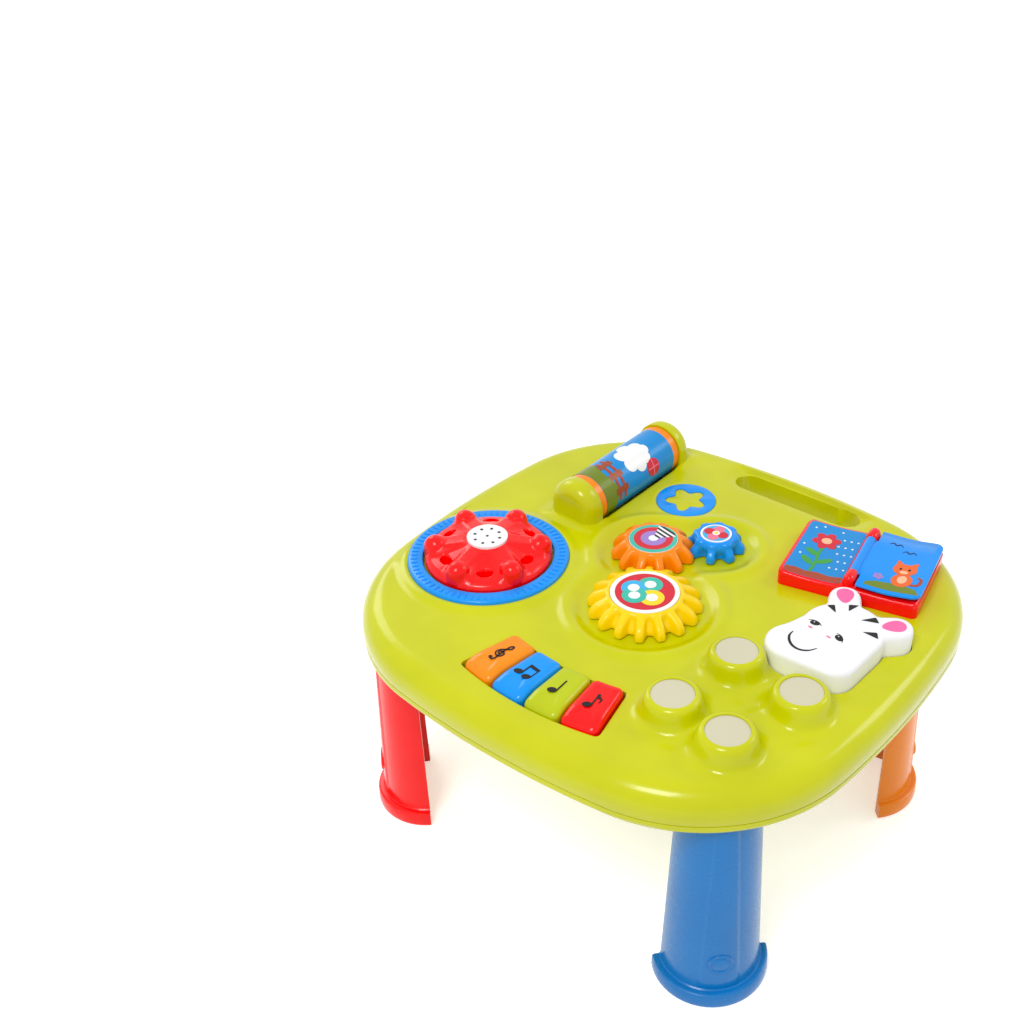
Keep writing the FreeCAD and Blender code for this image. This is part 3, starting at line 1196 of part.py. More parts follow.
def make_electronics():
    speaker = ("speaker_across", "speaker_setback")
    basket = at(cylinder("speaker_basket", "speaker_radius", "speaker_depth"), *speaker, FLOOR)
    magnet = at(cylinder("speaker_magnet", "speaker_magnet_radius", "speaker_magnet_depth + 1"), *speaker,
                f"({FLOOR} + speaker_depth - 1)")
    dish = at(cone("speaker_dish", "speaker_radius - 3", "6", "speaker_depth - 1.5"), *speaker,
              f"({FLOOR} - 0.5)")
    part("speaker", cut("speaker_solid", fuse("speaker_sum", basket, magnet), dish))
    part("main_board", centred_box("main_board_plate", "main_board_width", "main_board_depth",
                                   "board_thickness",
                                   "main_board_across", "main_board_setback",
                                   f"({FLOOR} + board_standoff)"))
    top_of_board = f"({FLOOR} + board_standoff + board_thickness)"
    chip = centred_box("sound_chip", "12", "12", "2", "main_board_across - 10", "main_board_setback",
                       top_of_board)
    can = at(cylinder("capacitor", "3", "7"), "main_board_across + 14", "main_board_setback - 6",
             top_of_board)
    plug = centred_box("lead_socket", "6", "14", "5", "main_board_across + 20", "main_board_setback + 6",
                       top_of_board)
    part("board_components", compound("component_set", [chip, can, plug]))
    room = "(switch_knob_length + switch_travel + 2*moving_gap)"
    case = centred_box("switch_case", f"{room} + 4", "switch_knob_width + 5", "switch_body_height",
                       "switch_across",
                       "switch_setback", FLOOR)
    inside = centred_box("switch_inside", room, "switch_knob_width + 2", "switch_body_height - 1",
                         "switch_across",
                         "switch_setback", f"({FLOOR} - 0.5)")
    part("switch_case", cut("switch_case_solid", case, inside))
    x = "switch_across - switch_travel/2"
    stem = centred_box("switch_stem", "switch_knob_length", "switch_knob_width",
                       "wall + switch_body_height - 2.5", x,
                       "switch_setback", f"({BASE} + 0.3)")
    collar = centred_box("switch_collar", "switch_knob_length", "switch_knob_width + 1.6", "2", x,
                         "switch_setback",
                         f"({FLOOR} + 0.1)")
    part("switch_knob", fuse("switch_knob_solid", stem, collar))


make_top_shell()
make_bottom_shell()
make_fasteners()
make_battery_parts()
make_legs()
make_wheel()
make_gears()
make_roller()
make_star_badge()
make_keys()
make_key_board()
make_lamps()
make_head_button()
make_book()
make_electronics()

doc.recompute()
failed = [feature.Name for feature in doc.Objects if {"Invalid", "Error"} & set(feature.State)]
if failed:
    raise RuntimeError(f"features failed: {failed}")
for label, feature in parts.items():
    shape = feature.Shape
    if shape.isNull() or not shape.isValid() or not shape.Solids:
        raise RuntimeError(f"{label} has no valid solid")
for label, feature in parts.items():
    feature.Shape.exportStep(f"parts/{label}.step")
    print(label, len(feature.Shape.Solids), round(feature.Shape.Volume / 1000, 2))
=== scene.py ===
import math

import bmesh
import bpy
import mathutils.geometry
import numpy as np
from mathutils import Matrix, Vector


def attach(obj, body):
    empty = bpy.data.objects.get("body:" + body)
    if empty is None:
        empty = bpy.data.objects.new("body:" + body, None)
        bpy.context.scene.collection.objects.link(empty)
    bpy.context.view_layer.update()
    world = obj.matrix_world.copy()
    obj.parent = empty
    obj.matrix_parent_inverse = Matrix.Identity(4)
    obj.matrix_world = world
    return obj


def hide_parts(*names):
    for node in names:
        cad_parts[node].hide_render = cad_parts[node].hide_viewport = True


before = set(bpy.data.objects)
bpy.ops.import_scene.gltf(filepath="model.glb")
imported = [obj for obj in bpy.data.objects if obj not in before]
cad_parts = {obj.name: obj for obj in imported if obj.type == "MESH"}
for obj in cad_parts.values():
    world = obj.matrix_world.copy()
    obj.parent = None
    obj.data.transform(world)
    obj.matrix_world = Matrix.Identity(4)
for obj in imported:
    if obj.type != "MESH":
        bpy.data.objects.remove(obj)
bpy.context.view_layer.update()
MM = 0.001
TAU = 2 * math.pi
WHITE = (1, 1, 1, 1)

# heights above the floor, in millimetres
TOP = 171.0
WELL = 168.5
SEAM = 150.0
BASE = 143.5

# play pieces in the table's own frame, in millimetres
WHEEL = (-106.7, -47.7)
LENSES = [(83.6, -42.2), (76.4, -95.9), (131.9, -50.0), (117.4, -102.3)]
ROLLER = (-94.3, 79.2)
ROLLER_R = 17.75
ROLLER_HALF = 45.0
STAR = (-45.7, 90.1)
HEAD = (121.0, 15.0)
BOOK = (93.5, 87.5)
BOOK_TURN = math.radians(12.5)
SLOT = (14, 140)
SLOT_HALF = 38
SLOT_R = 11
KEY_CENTRE = (3.5, 79.0)
KEY_MIDDLE = 202
KEY_SPAN = 26.8
LEGS = {
    "leg_front_left": (-119.6, -109.5, 225, "red"),
    "leg_front_right": (119.6, -109.5, 315, "deep_blue"),
    "leg_back_right": (119.6, 85.2, 45, "orange"),
    "leg_back_left": (-119.6, 85.2, 135, "yellow"),
}


def linear(r, g, b):
    def one(v):
        v /= 255
        return v / 12.92 if v <= 0.04045 else ((v + 0.055) / 1.055) ** 2.4
    return (one(r), one(g), one(b), 1.0)


# materials
def feed(tree, node, values, sources=None):
    """Set a node's input values and link the outputs that feed its other inputs."""
    for socket, value in values.items():
        node.inputs[socket].default_value = value
    for socket, source in (sources or {}).items():
        tree.links.new(source, node.inputs[socket])
    return node


def add_node(tree, kind, values, sources=None):
    return feed(tree, tree.nodes.new("ShaderNode" + kind), values, sources)


def moulded(name, colour, rough=0.22, grain=0.012, coat=0.12, shift=0.05, light=0.0):
    """Glossy moulded plastic: faint pigment clouds, a little waviness and fine scuffs."""
    material = bpy.data.materials.new(name)
    material.use_nodes = True
    tree = material.node_tree
    where = add_node(tree, "TexCoord", {}).outputs["Object"]
    clouds = add_node(tree, "TexNoise", {"Scale": 22, "Detail": 3}, {"Vector": where})
    tint = add_node(tree, "ValToRGB", {}, {"Fac": clouds.outputs["Fac"]})
    for stop, spot, change in zip(tint.color_ramp.elements, (0.3, 0.7), (1 - shift, 1 + shift)):
        stop.position = spot
        stop.color = (*(min(1, c * change) for c in colour[:3]), 1)
    scuff = add_node(tree, "TexNoise", {"Scale": 160, "Detail": 4}, {"Vector": where})
    gloss = add_node(tree, "MapRange", {"To Min": max(0.02, rough - 0.05), "To Max": rough + 0.06},
                     {"Value": scuff.outputs["Fac"]})
    wave = add_node(tree, "TexNoise", {"Scale": 38}, {"Vector": where})
    bump = add_node(tree, "Bump", {"Strength": grain, "Distance": 0.02}, {"Height": wave.outputs["Fac"]})
    shader = tree.nodes["Principled BSDF"]
    surface = {"IOR": 1.5, "Coat Weight": coat, "Specular IOR Level": 0.28, "Coat Roughness": 0.08}
    feed(tree, shader, surface, {"Base Color": tint.outputs["Color"], "Roughness": gloss.outputs["Result"],
                                 "Normal": bump.outputs["Normal"]})
    if light:
        feed(tree, shader, {"Emission Color": colour, "Emission Strength": light})
    return material


def metal(name, colour, rough):
    material = moulded(name, colour, rough, 0.02, 0.0, 0.1)
    material.node_tree.nodes["Principled BSDF"].inputs["Metallic"].default_value = 1.0
    return material


# each look: the material's name, its colour, then roughness, waviness, coat, pigment shift and glow
PLASTICS = {
    "green": ("moulded_green", (201, 204, 0), 0.2, 0.02),
    "green_key": ("key_green_plastic", (186, 199, 2), 0.24),
    "blue": ("moulded_blue", (0, 148, 246)),
    "deep_blue": ("leg_blue", (0, 116, 190), 0.26),
    "red": ("moulded_red", (252, 0, 2), 0.2),
    "orange": ("moulded_orange", (255, 140, 0)),
    "yellow": ("moulded_yellow", (255, 214, 0)),
    "white": ("moulded_white", (244, 244, 248), 0.25, 0.012, 0.12, 0.02),
    "lens": ("milky_lens", (205, 200, 172), 0.3, 0.012, 0.12, 0.02, 0.04),
    "board": ("board_green", (10, 90, 50), 0.5),
    "black": ("black_plastic", (30, 30, 32), 0.5),
    "rubber": ("grey_rubber", (120, 120, 120), 0.7, 0.012, 0.0),
    "cell": ("cell_sleeve", (70, 74, 84), 0.3),
}
PRINTS = {
    "red": (214, 30, 52), "pink": (240, 120, 150), "teal": (60, 190, 170), "cyan": (60, 180, 232),
    "lilac": (160, 130, 205), "black": (6, 6, 8), "white": (246, 246, 246), "yellow": (255, 220, 40),
    "green": (60, 160, 60), "brown": (150, 72, 30), "blue": (0, 140, 214), "rose": (250, 106, 168),
    "olive": (112, 132, 20), "rust": (170, 66, 34), "ginger": (238, 104, 34), "skin": (250, 190, 150),
    "navy": (14, 52, 110),
}
PRINT_ROUGH = {"black": 0.4, "olive": 0.35, "rust": 0.35}
MATS = {look: moulded(name, linear(*rgb), *rest) for look, (name, rgb, *rest) in PLASTICS.items()}
MATS["steel"] = metal("screw_steel", (0.62, 0.62, 0.64, 1), 0.3)
for ink, rgb in PRINTS.items():
    MATS[f"print_{ink}"] = moulded(f"print_{ink}", linear(*rgb), PRINT_ROUGH.get(ink, 0.3),
                                   shift=0.02 if ink == "white" else 0.05)
NODE_LOOKS = {
    "green": ["top_shell", "bottom_shell", "battery_door"],
    "green_key": ["key_green"],
    "blue": ["tick_ring", "gear_blue", "key_blue", "star_badge", "book_leaf"],
    "deep_blue": ["leg_front_right"],
    "red": ["leg_front_left", "steering_wheel", "key_red", "book_base"],
    "orange": ["leg_back_right", "gear_orange", "key_orange", "roller_cap_front", "roller_cap_back"],
    "yellow": ["leg_back_left", "gear_yellow"],
    "white": ["hub_cap", "animal_head_button"],
    "lens": ["lens_1", "lens_2", "lens_3", "lens_4", "lamp_leds"],
    "print_blue": ["roller_drum", "book_picture"],
    "print_white": ["badge_yellow", "badge_orange", "badge_blue"],
    "steel": ["case_screws", "gear_screws", "gear_washers", "battery_door_screw", "battery_contacts",
              "wheel_retainer", "wheel_screw", "head_spring", "book_pin"],
    "board": ["key_board", "lamp_board", "main_board"],
    "black": ["speaker", "board_components", "switch_case", "switch_knob"],
    "rubber": ["key_contact_strip", "head_contact"],
    "cell": ["battery_1", "battery_2", "battery_3"],
}
for look, names in NODE_LOOKS.items():
    for name in names:
        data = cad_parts[name].data
        data.materials.clear()
        data.materials.append(MATS[look])


# mesh helpers: all sizes in millimetres
def piece(name, shape, look, body, node=None, sharp=40, place=None):
    """One visible mesh that rides on a body; node names the part node whose form it replaces."""
    verts, faces = shape
    mesh = bpy.data.meshes.new(name)
    mesh.from_pydata([Vector(v) * MM for v in verts], [], faces)
    mesh.validate()
    work = bmesh.new()
    work.from_mesh(mesh)
    bmesh.ops.recalc_face_normals(work, faces=work.faces)
    work.to_mesh(mesh)
    work.free()
    if place is not None:
        mesh.transform(Matrix.Translation(place.translation * MM) @ place.to_3x3().to_4x4())
    for face in mesh.polygons:
        face.use_smooth = True
    mesh.set_sharp_from_angle(angle=math.radians(sharp))
    mesh.materials.append(MATS[look])
    obj = bpy.data.objects.new(name, mesh)
    bpy.context.collection.objects.link(obj)
    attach(obj, body)
    if node:
        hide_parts(node)
    return obj


def skin(rows, size, wrap=False):
    """Four-sided faces between rows of equally many points; wrap joins each row's end to its start."""
    return [(i * size + j, i * size + (j + 1) % size, (i + 1) * size + (j + 1) % size, (i + 1) * size + j)
            for i in range(rows - 1) for j in range(size if wrap else size - 1)]


def joined(rings):
    return [p for ring in rings for p in ring]


def rings_mesh(rings, close_start=True, close_end=True):
    """A skin over closed rings of equally many points; each end may be closed by a fan."""
    count = len(rings[0])
    verts = joined(rings)
    faces = skin(len(rings), count, True)
    for flag, index in ((close_start, 0), (close_end, len(rings) - 1)):
        if flag:
            middle = [sum(p[c] for p in rings[index]) / count for c in range(3)]
            verts.append(tuple(middle))
            base = index * count
            for j in range(count):
                faces.append((base + j, base + (j + 1) % count, len(verts) - 1))
    return verts, faces


def polar(radius, angle, x=0.0, y=0.0):
    return (x + radius * math.cos(angle), y + radius * math.sin(angle))


def level_ring(radius, height, count):
    return [(*polar(radius, TAU * j / count), height) for j in range(count)]


def lathe(profile, count):
    """Turn (radius, height) pairs about the upright axis."""
    return [level_ring(radius, height, count) for radius, height in profile]


def offset_outline(outline, inset):
    """Move a closed outline inwards along its own normals."""
    count = len(outline)
    moved = []
    for i in range(count):
        x0, y0 = outline[i - 1]
        x1, y1 = outline[(i + 1) % count]
        dx, dy = x1 - x0, y1 - y0
        length = math.hypot(dx, dy) or 1
        moved.append((outline[i][0] - dy / length * inset, outline[i][1] + dx / length * inset))
    return moved


def smoothstep(a, b, v):
    t = min(1.0, max(0.0, (v - a) / (b - a)))
    return t * t * (3 - 2 * t)


def smooth_max(values, soft):
    top = max(values)
    return top + soft * math.log(sum(math.exp((v - top) / soft) for v in values))


def flat_patch(outline, z):
    """A thin printed shape that lies on a level face."""
    return rings_mesh([[(x, y, z + rise) for x, y in outline] for rise in (-0.05, 0.16)], False)


def circle_points(x, y, radius, count):
    return [polar(radius, TAU * i / count, x, y) for i in range(count)]


def bar_along(points, radius, sides):
    """A round bar along points."""
    rings = []
    for i, point in enumerate(points):
        p = Vector(point)
        run = (Vector(points[min(i + 1, len(points) - 1)]) - Vector(points[max(i - 1, 0)])).normalized()
        side = run.cross(Vector((0, 0, 1))).normalized()
        up = side.cross(run)
        rings.append([tuple(p + side * (radius * math.cos(TAU * j / sides))
                            + up * (radius * math.sin(TAU * j / sides))) for j in range(sides)])
    return rings_mesh(rings)


# gears: a badge seat with smooth teeth that flare outwards and down
MODULE = 4.2
GEAR_FLOOR = WELL + 0.5
GEAR_HEIGHT = 12.5


def gear_shape(teeth, badge):
    """Valley and crest profiles as (radius, height) pairs of the same number."""
    pitch = MODULE * teeth / 2
    seat = [(badge + 0.2, 12.1), (badge + 0.1, 11.2), (0.0, 11.2)]
    valley = [(pitch - 5.3, 0.0), (pitch - 4.3, 0.6), (pitch - 4.5, 3.0), (badge + 4.1, 8.0),
              (badge + 3.2, 11.2), (badge + 2.2, 12.4), (badge + 1.0, 12.7)]
    crest = [(pitch + 1.6, 0.0), (pitch + 2.6, 0.8), (pitch + 2.4, 4.6), (pitch - 0.8, 8.6),
             (badge + 4.6, 11.6), (badge + 2.6, 12.6), (badge + 1.0, 12.8)]
    return valley + seat, crest + seat


def smooth_run(points, count):
    """Catmull-Rom points through a short open run."""
    full = [points[0]] + list(points) + [points[-1]]
    result = []
    for i in range(1, len(full) - 2):
        for k in range(count):
            t = k / count
            row = []
            for c in range(len(points[0])):
                p0, p1, p2, p3 = (full[i + o][c] for o in (-1, 0, 1, 2))
                row.append(0.5 * (2 * p1 + (p2 - p0) * t + (2 * p0 - 5 * p1 + 4 * p2 - p3) * t * t
                                  + (3 * p1 - p0 - 3 * p2 + p3) * t ** 3))
            result.append(tuple(row))
    result.append(tuple(points[-1]))
    return result


def make_gear(colour, x, y, teeth, badge, start):
    valley, crest = (smooth_run(p, 3) for p in gear_shape(teeth, badge))
    segments = teeth * 14
    rings = []
    for (r0, z0), (r1, z1) in zip(valley, crest):
        ring = []
        for j in range(segments):
            a = TAU * j / segments
            phase = ((a - start) * teeth / TAU + 0.5) % 1 - 0.5
            weight = 1 - smoothstep(0.13, 0.36, abs(phase))
            r = r0 + (r1 - r0) * weight
            z = z0 + (z1 - z0) * weight
            ring.append((*polar(r, a), z))
        rings.append(ring)
    body = f"gear_{colour}_body"
    piece(f"gear_{colour}_teeth", rings_mesh(rings, False), colour, body, f"gear_{colour}", 70,
          Matrix.Translation((x, y, GEAR_FLOOR)))
    return body


def badge_art(colour, x, y, k, z, body):
    """Generic round label art: rings and simple shapes, none copied."""
    def disc(tag, look, cx, cy, radius, rise):
        piece(f"{colour}_label_{tag}", flat_patch(circle_points(x + cx, y + cy, radius, 48), z + rise),
              look, body)

    if colour == "yellow":
        disc("field", "print_red", 0, 0, k * 0.86, 0.05)
        for i, (look, a) in enumerate((("print_teal", 100), ("print_cyan", 190), ("print_yellow", 340),
                                       ("print_teal", 250))):
            cx, cy = polar(k * 0.36, math.radians(a))
            disc(f"dot_{i}", look, cx, cy, k * 0.36, 0.12 + 0.05 * i)
            disc(f"core_{i}", "print_white", cx, cy, k * 0.17, 0.32 + 0.01 * i)
    elif colour == "orange":
        disc("ring_1", "print_teal", 0, 0, k * 0.98, 0.05)
        disc("ring_2", "print_red", 0, 0, k * 0.8, 0.12)
        disc("ring_3", "print_lilac", 0, 0, k * 0.52, 0.19)
        disc("ring_4", "print_white", 0, 0, k * 0.2, 0.26)
        spread, aim = math.radians(34), math.radians(78)
        for i in range(7):
            low = k * (0.14 + 0.105 * i)
            high = low + k * 0.105
            bar = []
            for d, side in ((low, 1), (low, -1), (high, -1), (high, 1)):
                half = min(math.tan(spread) * d, math.sqrt(max(0.0, (k * 0.93) ** 2 - d * d)))
                bar.append((x + d * math.cos(aim) - side * half * math.sin(aim),
                            y + d * math.sin(aim) + side * half * math.cos(aim)))
            piece(f"orange_label_bar_{i}", flat_patch(bar, z + 0.33),
                  "print_white" if i % 2 else "print_black", body)
    else:
        disc("field", "print_cyan", 0, 0, k * 0.86, 0.05)
        for i in range(4):
            a = math.radians(90 * i + 8)
            look = "print_pink" if i % 2 else "print_red"
            disc(f"petal_{i}", look, *polar(k * 0.46, a), k * 0.36, 0.12 + 0.01 * i)
        disc("core", "print_white", 0, 0, k * 0.24, 0.22)
        disc("heart", "print_yellow", 0, 0, k * 0.13, 0.29)


YELLOW_TO_ORANGE = MODULE * (16 + 12) / 2
ORANGE_TO_BLUE = MODULE * (12 + 8) / 2
TRAIN = math.radians(121.3)
BLUE_TURN = math.radians(46.0)
yellow_at = (4.1, -25.0)
orange_at = polar(YELLOW_TO_ORANGE, TRAIN, *yellow_at)
blue_at = polar(ORANGE_TO_BLUE, BLUE_TURN, *orange_at)
orange_start = TRAIN + math.pi + math.pi / 12
blue_start = BLUE_TURN + math.pi - (orange_start - BLUE_TURN) * 12 / 8 + math.pi / 8
for colour, spot, teeth, badge, start in (("yellow", yellow_at, 16, 21.8, TRAIN),
                                          ("orange", orange_at, 12, 16.2, orange_start),
                                          ("blue", blue_at, 8, 10.4, blue_start)):
    body = make_gear(colour, *spot, teeth, badge, start)
    badge_art(colour, *spot, badge, GEAR_FLOOR + GEAR_HEIGHT, body)


# top casing: one soft-blended surface, cut for its windows
HALF_W, HALF_D, SIDE_R, CORNER_R, EDGE_R = 175.0, 167.0, 600.0, 108.0, 14.0
GRID = 1.7


def casing_outline(inset=0.0, per_arc=48):
    """The play top's plan, anticlockwise from the right-hand side arc."""
    side, corner = SIDE_R - inset, CORNER_R - inset
    far_x, far_y = SIDE_R - HALF_W, SIDE_R - HALF_D
    run = SIDE_R - CORNER_R
    spread = math.hypot(far_x, far_y)
    along = math.sqrt(run ** 2 - (spread / 2) ** 2)
    a = -far_x / 2 + along * far_y / spread
    b = -far_y / 2 + along * far_x / spread
    tilt_side = math.atan2(b, a + far_x)
    tilt_front = math.atan2(a, b + far_y)
    points = []
    for k in range(4):
        facing = k * math.pi / 2
        tilt, after = (tilt_side, tilt_front) if k % 2 == 0 else (tilt_front, tilt_side)
        back = far_x if k % 2 == 0 else far_y
        cx, cy = -back * math.cos(facing), -back * math.sin(facing)
        for i in range(per_arc):
            t = facing - tilt + 2 * tilt * i / per_arc
            points.append(polar(side, t, cx, cy))
        cx, cy = a * (1 if k in (0, 3) else -1), b * (1 if k in (0, 1) else -1)
        first, last = facing + tilt, facing + math.pi / 2 - after
        for i in range(per_arc):
            t = first + (last - first) * i / per_arc
            points.append(polar(corner, t, cx, cy))
    return points


def ramp(a, b, v):
    t = np.clip((v - a) / (b - a), 0, 1)
    return t * t * (3 - 2 * t)


DOME = np.array([(12.7, 14.0), (13.4, 14.0), (14.6, 13.75), (15.7, 13.0), (16.6, 11.8), (17.2, 10.0),
                 (17.8, 7.4), (18.4, 5.0), (19.2, 3.1), (20.4, 1.7), (22.2, 0.75), (24.6, 0.2),
                 (27.0, 0.0)])
GEAR_REACH = [(yellow_at, 48.3), (orange_at, 39.9), (blue_at, 31.5)]
CHEEK_MIDS = (ROLLER[1] - 52.5, ROLLER[1] + 52.5)


def segment_distance(x, y, a, b):
    ax, ay = a
    bx, by = b[0] - ax, b[1] - ay
    t = np.clip(((x - ax) * bx + (y - ay) * by) / (bx * bx + by * by), 0, 1)
    return np.hypot(x - ax - t * bx, y - ay - t * by)


def relief(x, y):
    """Height of the moulded top over its flat level."""
    x, y = np.asarray(x, float), np.asarray(y, float)
    z = 2.3 * (1 - ramp(54.5, 62.0, np.hypot(x - WHEEL[0], y - WHEEL[1])))
    reach = np.array([np.hypot(x - sx, y - sy) - r for (sx, sy), r in GEAR_REACH])
    near = -4.0 * np.log(np.exp(-reach / 4.0).sum(axis=0))
    z = z + 1.7 * np.exp(-((near - 1.5) / 4.2) ** 2)
    z = z - 2.5 * (1 - ramp(-9.0, -1.5, near))
    pairs = ((0, 1), (0, 2), (1, 3), (2, 3))
    web = np.min([segment_distance(x, y, LENSES[i], LENSES[j]) for i, j in pairs], axis=0)
    z = z + 1.1 * (1 - ramp(9.0, 20.0, web))
    for lx, ly in LENSES:
        z = z + np.interp(np.hypot(x - lx, y - ly), DOME[:, 0], DOME[:, 1])
    for middle in CHEEK_MIDS:
        dx, dy = np.abs(x - ROLLER[0]) - 19.2, np.abs(y - middle) - 7.0
        out = np.hypot(np.maximum(dx, 0), np.maximum(dy, 0))
        z = z + 2.6 * (1 - ramp(0.0, 8.0, out)) * ramp(-40, 0, -np.abs(x - ROLLER[0]))
    scoop = np.hypot(np.maximum(np.abs(x - SLOT[0]) - SLOT_HALF + 4, 0), np.maximum(SLOT[1] - y, 0))
    z = z - 3.0 * (1 - ramp(12.0, 26.0, scoop)) * ramp(118.0, 150.0, y)
    return z


def head_edge(angle, margin):
    """How far the animal head reaches from its middle along a heading."""
    ux, uy = math.cos(angle), math.sin(angle)
    reach = 0.0

    def disc(cx, cy, r):
        side = cx * uy - cy * ux
        if abs(side) >= r:
            return 0.0
        return cx * ux + cy * uy + math.sqrt(r * r - side * side)

    def web(a, b):
        (ax, ay, ar), (bx, by, br) = a, b
        run = math.hypot(bx - ax, by - ay)
        lean = (ar - br) / run
        flat = math.sqrt(1 - lean * lean)
        dx, dy = (bx - ax) / run, (by - ay) / run
        corners = []
        for (cx, cy, r), sign in ((a, 1), (b, 1), (b, -1), (a, -1)):
            corners.append((cx + r * (dx * lean - sign * dy * flat),
                            cy + r * (dy * lean + sign * dx * flat)))
        far = 0.0
        for (x0, y0), (x1, y1) in zip(corners, corners[1:] + corners[:1]):
            ex, ey = x1 - x0, y1 - y0
            cross = ux * ey - uy * ex
            if abs(cross) > 1e-9:
                t = (x0 * ey - y0 * ex) / cross
                s = (x0 * uy - y0 * ux) / cross
                if 0 <= s <= 1 and t > 0:
                    far = max(far, t)
        return far

    def slim(spot):
        return (spot[0], spot[1], spot[2] - 1.9)

    head = (0, 0, 25.5 + margin)
    muzzle = (-18, -28, 16.2 + margin)
    jowl = (11, -29, 13.5 + margin)
    ears = [(-15, 29, 10.2 + margin), (25, 20.5, 10.2 + margin)]
    for spot in (head, muzzle, jowl, *ears):
        reach = max(reach, disc(*spot))
    root = (0, 0, 10.2 + margin)
    neck = (slim(head), slim(muzzle))
    for pair in (neck, (head, jowl), (muzzle, jowl), (root, ears[0]), (root, ears[1])):
        reach = max(reach, web(*pair))
    return reach


def head_outline(margin, soft):
    count = 240
    radii = [head_edge(TAU * i / count, margin) for i in range(count)]
    for _ in range(soft):
        radii = [(radii[i - 1] + 2 * radii[i] + radii[(i + 1) % count]) / 4 for i in range(count)]
    return [polar(r, TAU * i / count, *HEAD) for i, r in enumerate(radii)]


def round_corners(points, radius, steps=5):
    """A closed plan with each corner replaced by a short curve."""
    result = []
    count = len(points)
    for i in range(count):
        p = Vector(points[i])
        a = Vector(points[i - 1]) - p
        b = Vector(points[(i + 1) % count]) - p
        if a.angle(b) > math.radians(165):
            result.append(tuple(p))
            continue
        start = p + a.normalized() * min(radius, a.length * 0.45)
        end = p + b.normalized() * min(radius, b.length * 0.45)
        for k in range(steps + 1):
            t = k / steps
            q = start * (1 - t) ** 2 + p * (2 * t * (1 - t)) + end * t ** 2
            result.append((q.x, q.y))
    return result


def key_plan(first, last, inner, outer, count=14):
    """An annular sector about the keys' own centre, anticlockwise; headings in degrees."""
    run = [math.radians(first + (last - first) * i / count) for i in range(count + 1)]
    far = [polar(outer, a, *KEY_CENTRE) for a in run]
    near = [polar(inner, a, *KEY_CENTRE) for a in run]
    return far + near[::-1]


KEY_FIRST = -90 - KEY_SPAN / 2
KEY_WINDOW = key_plan(KEY_FIRST - 0.25, KEY_FIRST + KEY_SPAN + 0.25, 181.4, 222.6)
# each window: its plan and the level that its wall goes down to
windows = [(circle_points(*spot, 12.72, 64), TOP + 11.5) for spot in LENSES]
windows.append((round_corners(KEY_WINDOW, 4.0), TOP - 6))
windows.append((head_outline(0.55, 3), TOP - 4))
rx, ry = ROLLER
corners = ((-1, -1), (1, -1), (1, 1), (-1, 1))
windows.append(([(rx + i * 18.3, ry + j * 45.6) for i, j in corners], TOP - 16))
slot = []
for end, first in ((SLOT_HALF, -90), (-SLOT_HALF, 90)):
    for i in range(25):
        turn = math.radians(first + 7.5 * i)
        slot.append(polar(SLOT_R, turn, SLOT[0] + end, SLOT[1]))
windows.append((slot, SEAM))
windows.append((circle_points(*WHEEL, 53.0, 160), TOP - 0.3))
windows.append((circle_points(*STAR, 21.0, 80), TOP - 1.4))


def divided(loop, step):
    """The same closed plan with its long runs divided."""
    result = []
    for i, p in enumerate(loop):
        q = loop[(i + 1) % len(loop)]
        count = max(1, int(math.dist(p, q) / step))
        for k in range(count):
            result.append((p[0] + (q[0] - p[0]) * k / count, p[1] + (q[1] - p[1]) * k / count))
    return result


def inside(polygon, x, y):
    result = np.zeros(x.shape, bool)
    for i in range(len(polygon)):
        x0, y0 = polygon[i - 1]
        x1, y1 = polygon[i]
        if y0 == y1:
            continue
        crossing = ((y0 > y) != (y1 > y)) & (x < (x1 - x0) * (y - y0) / (y1 - y0) + x0)
        result ^= crossing
    return result


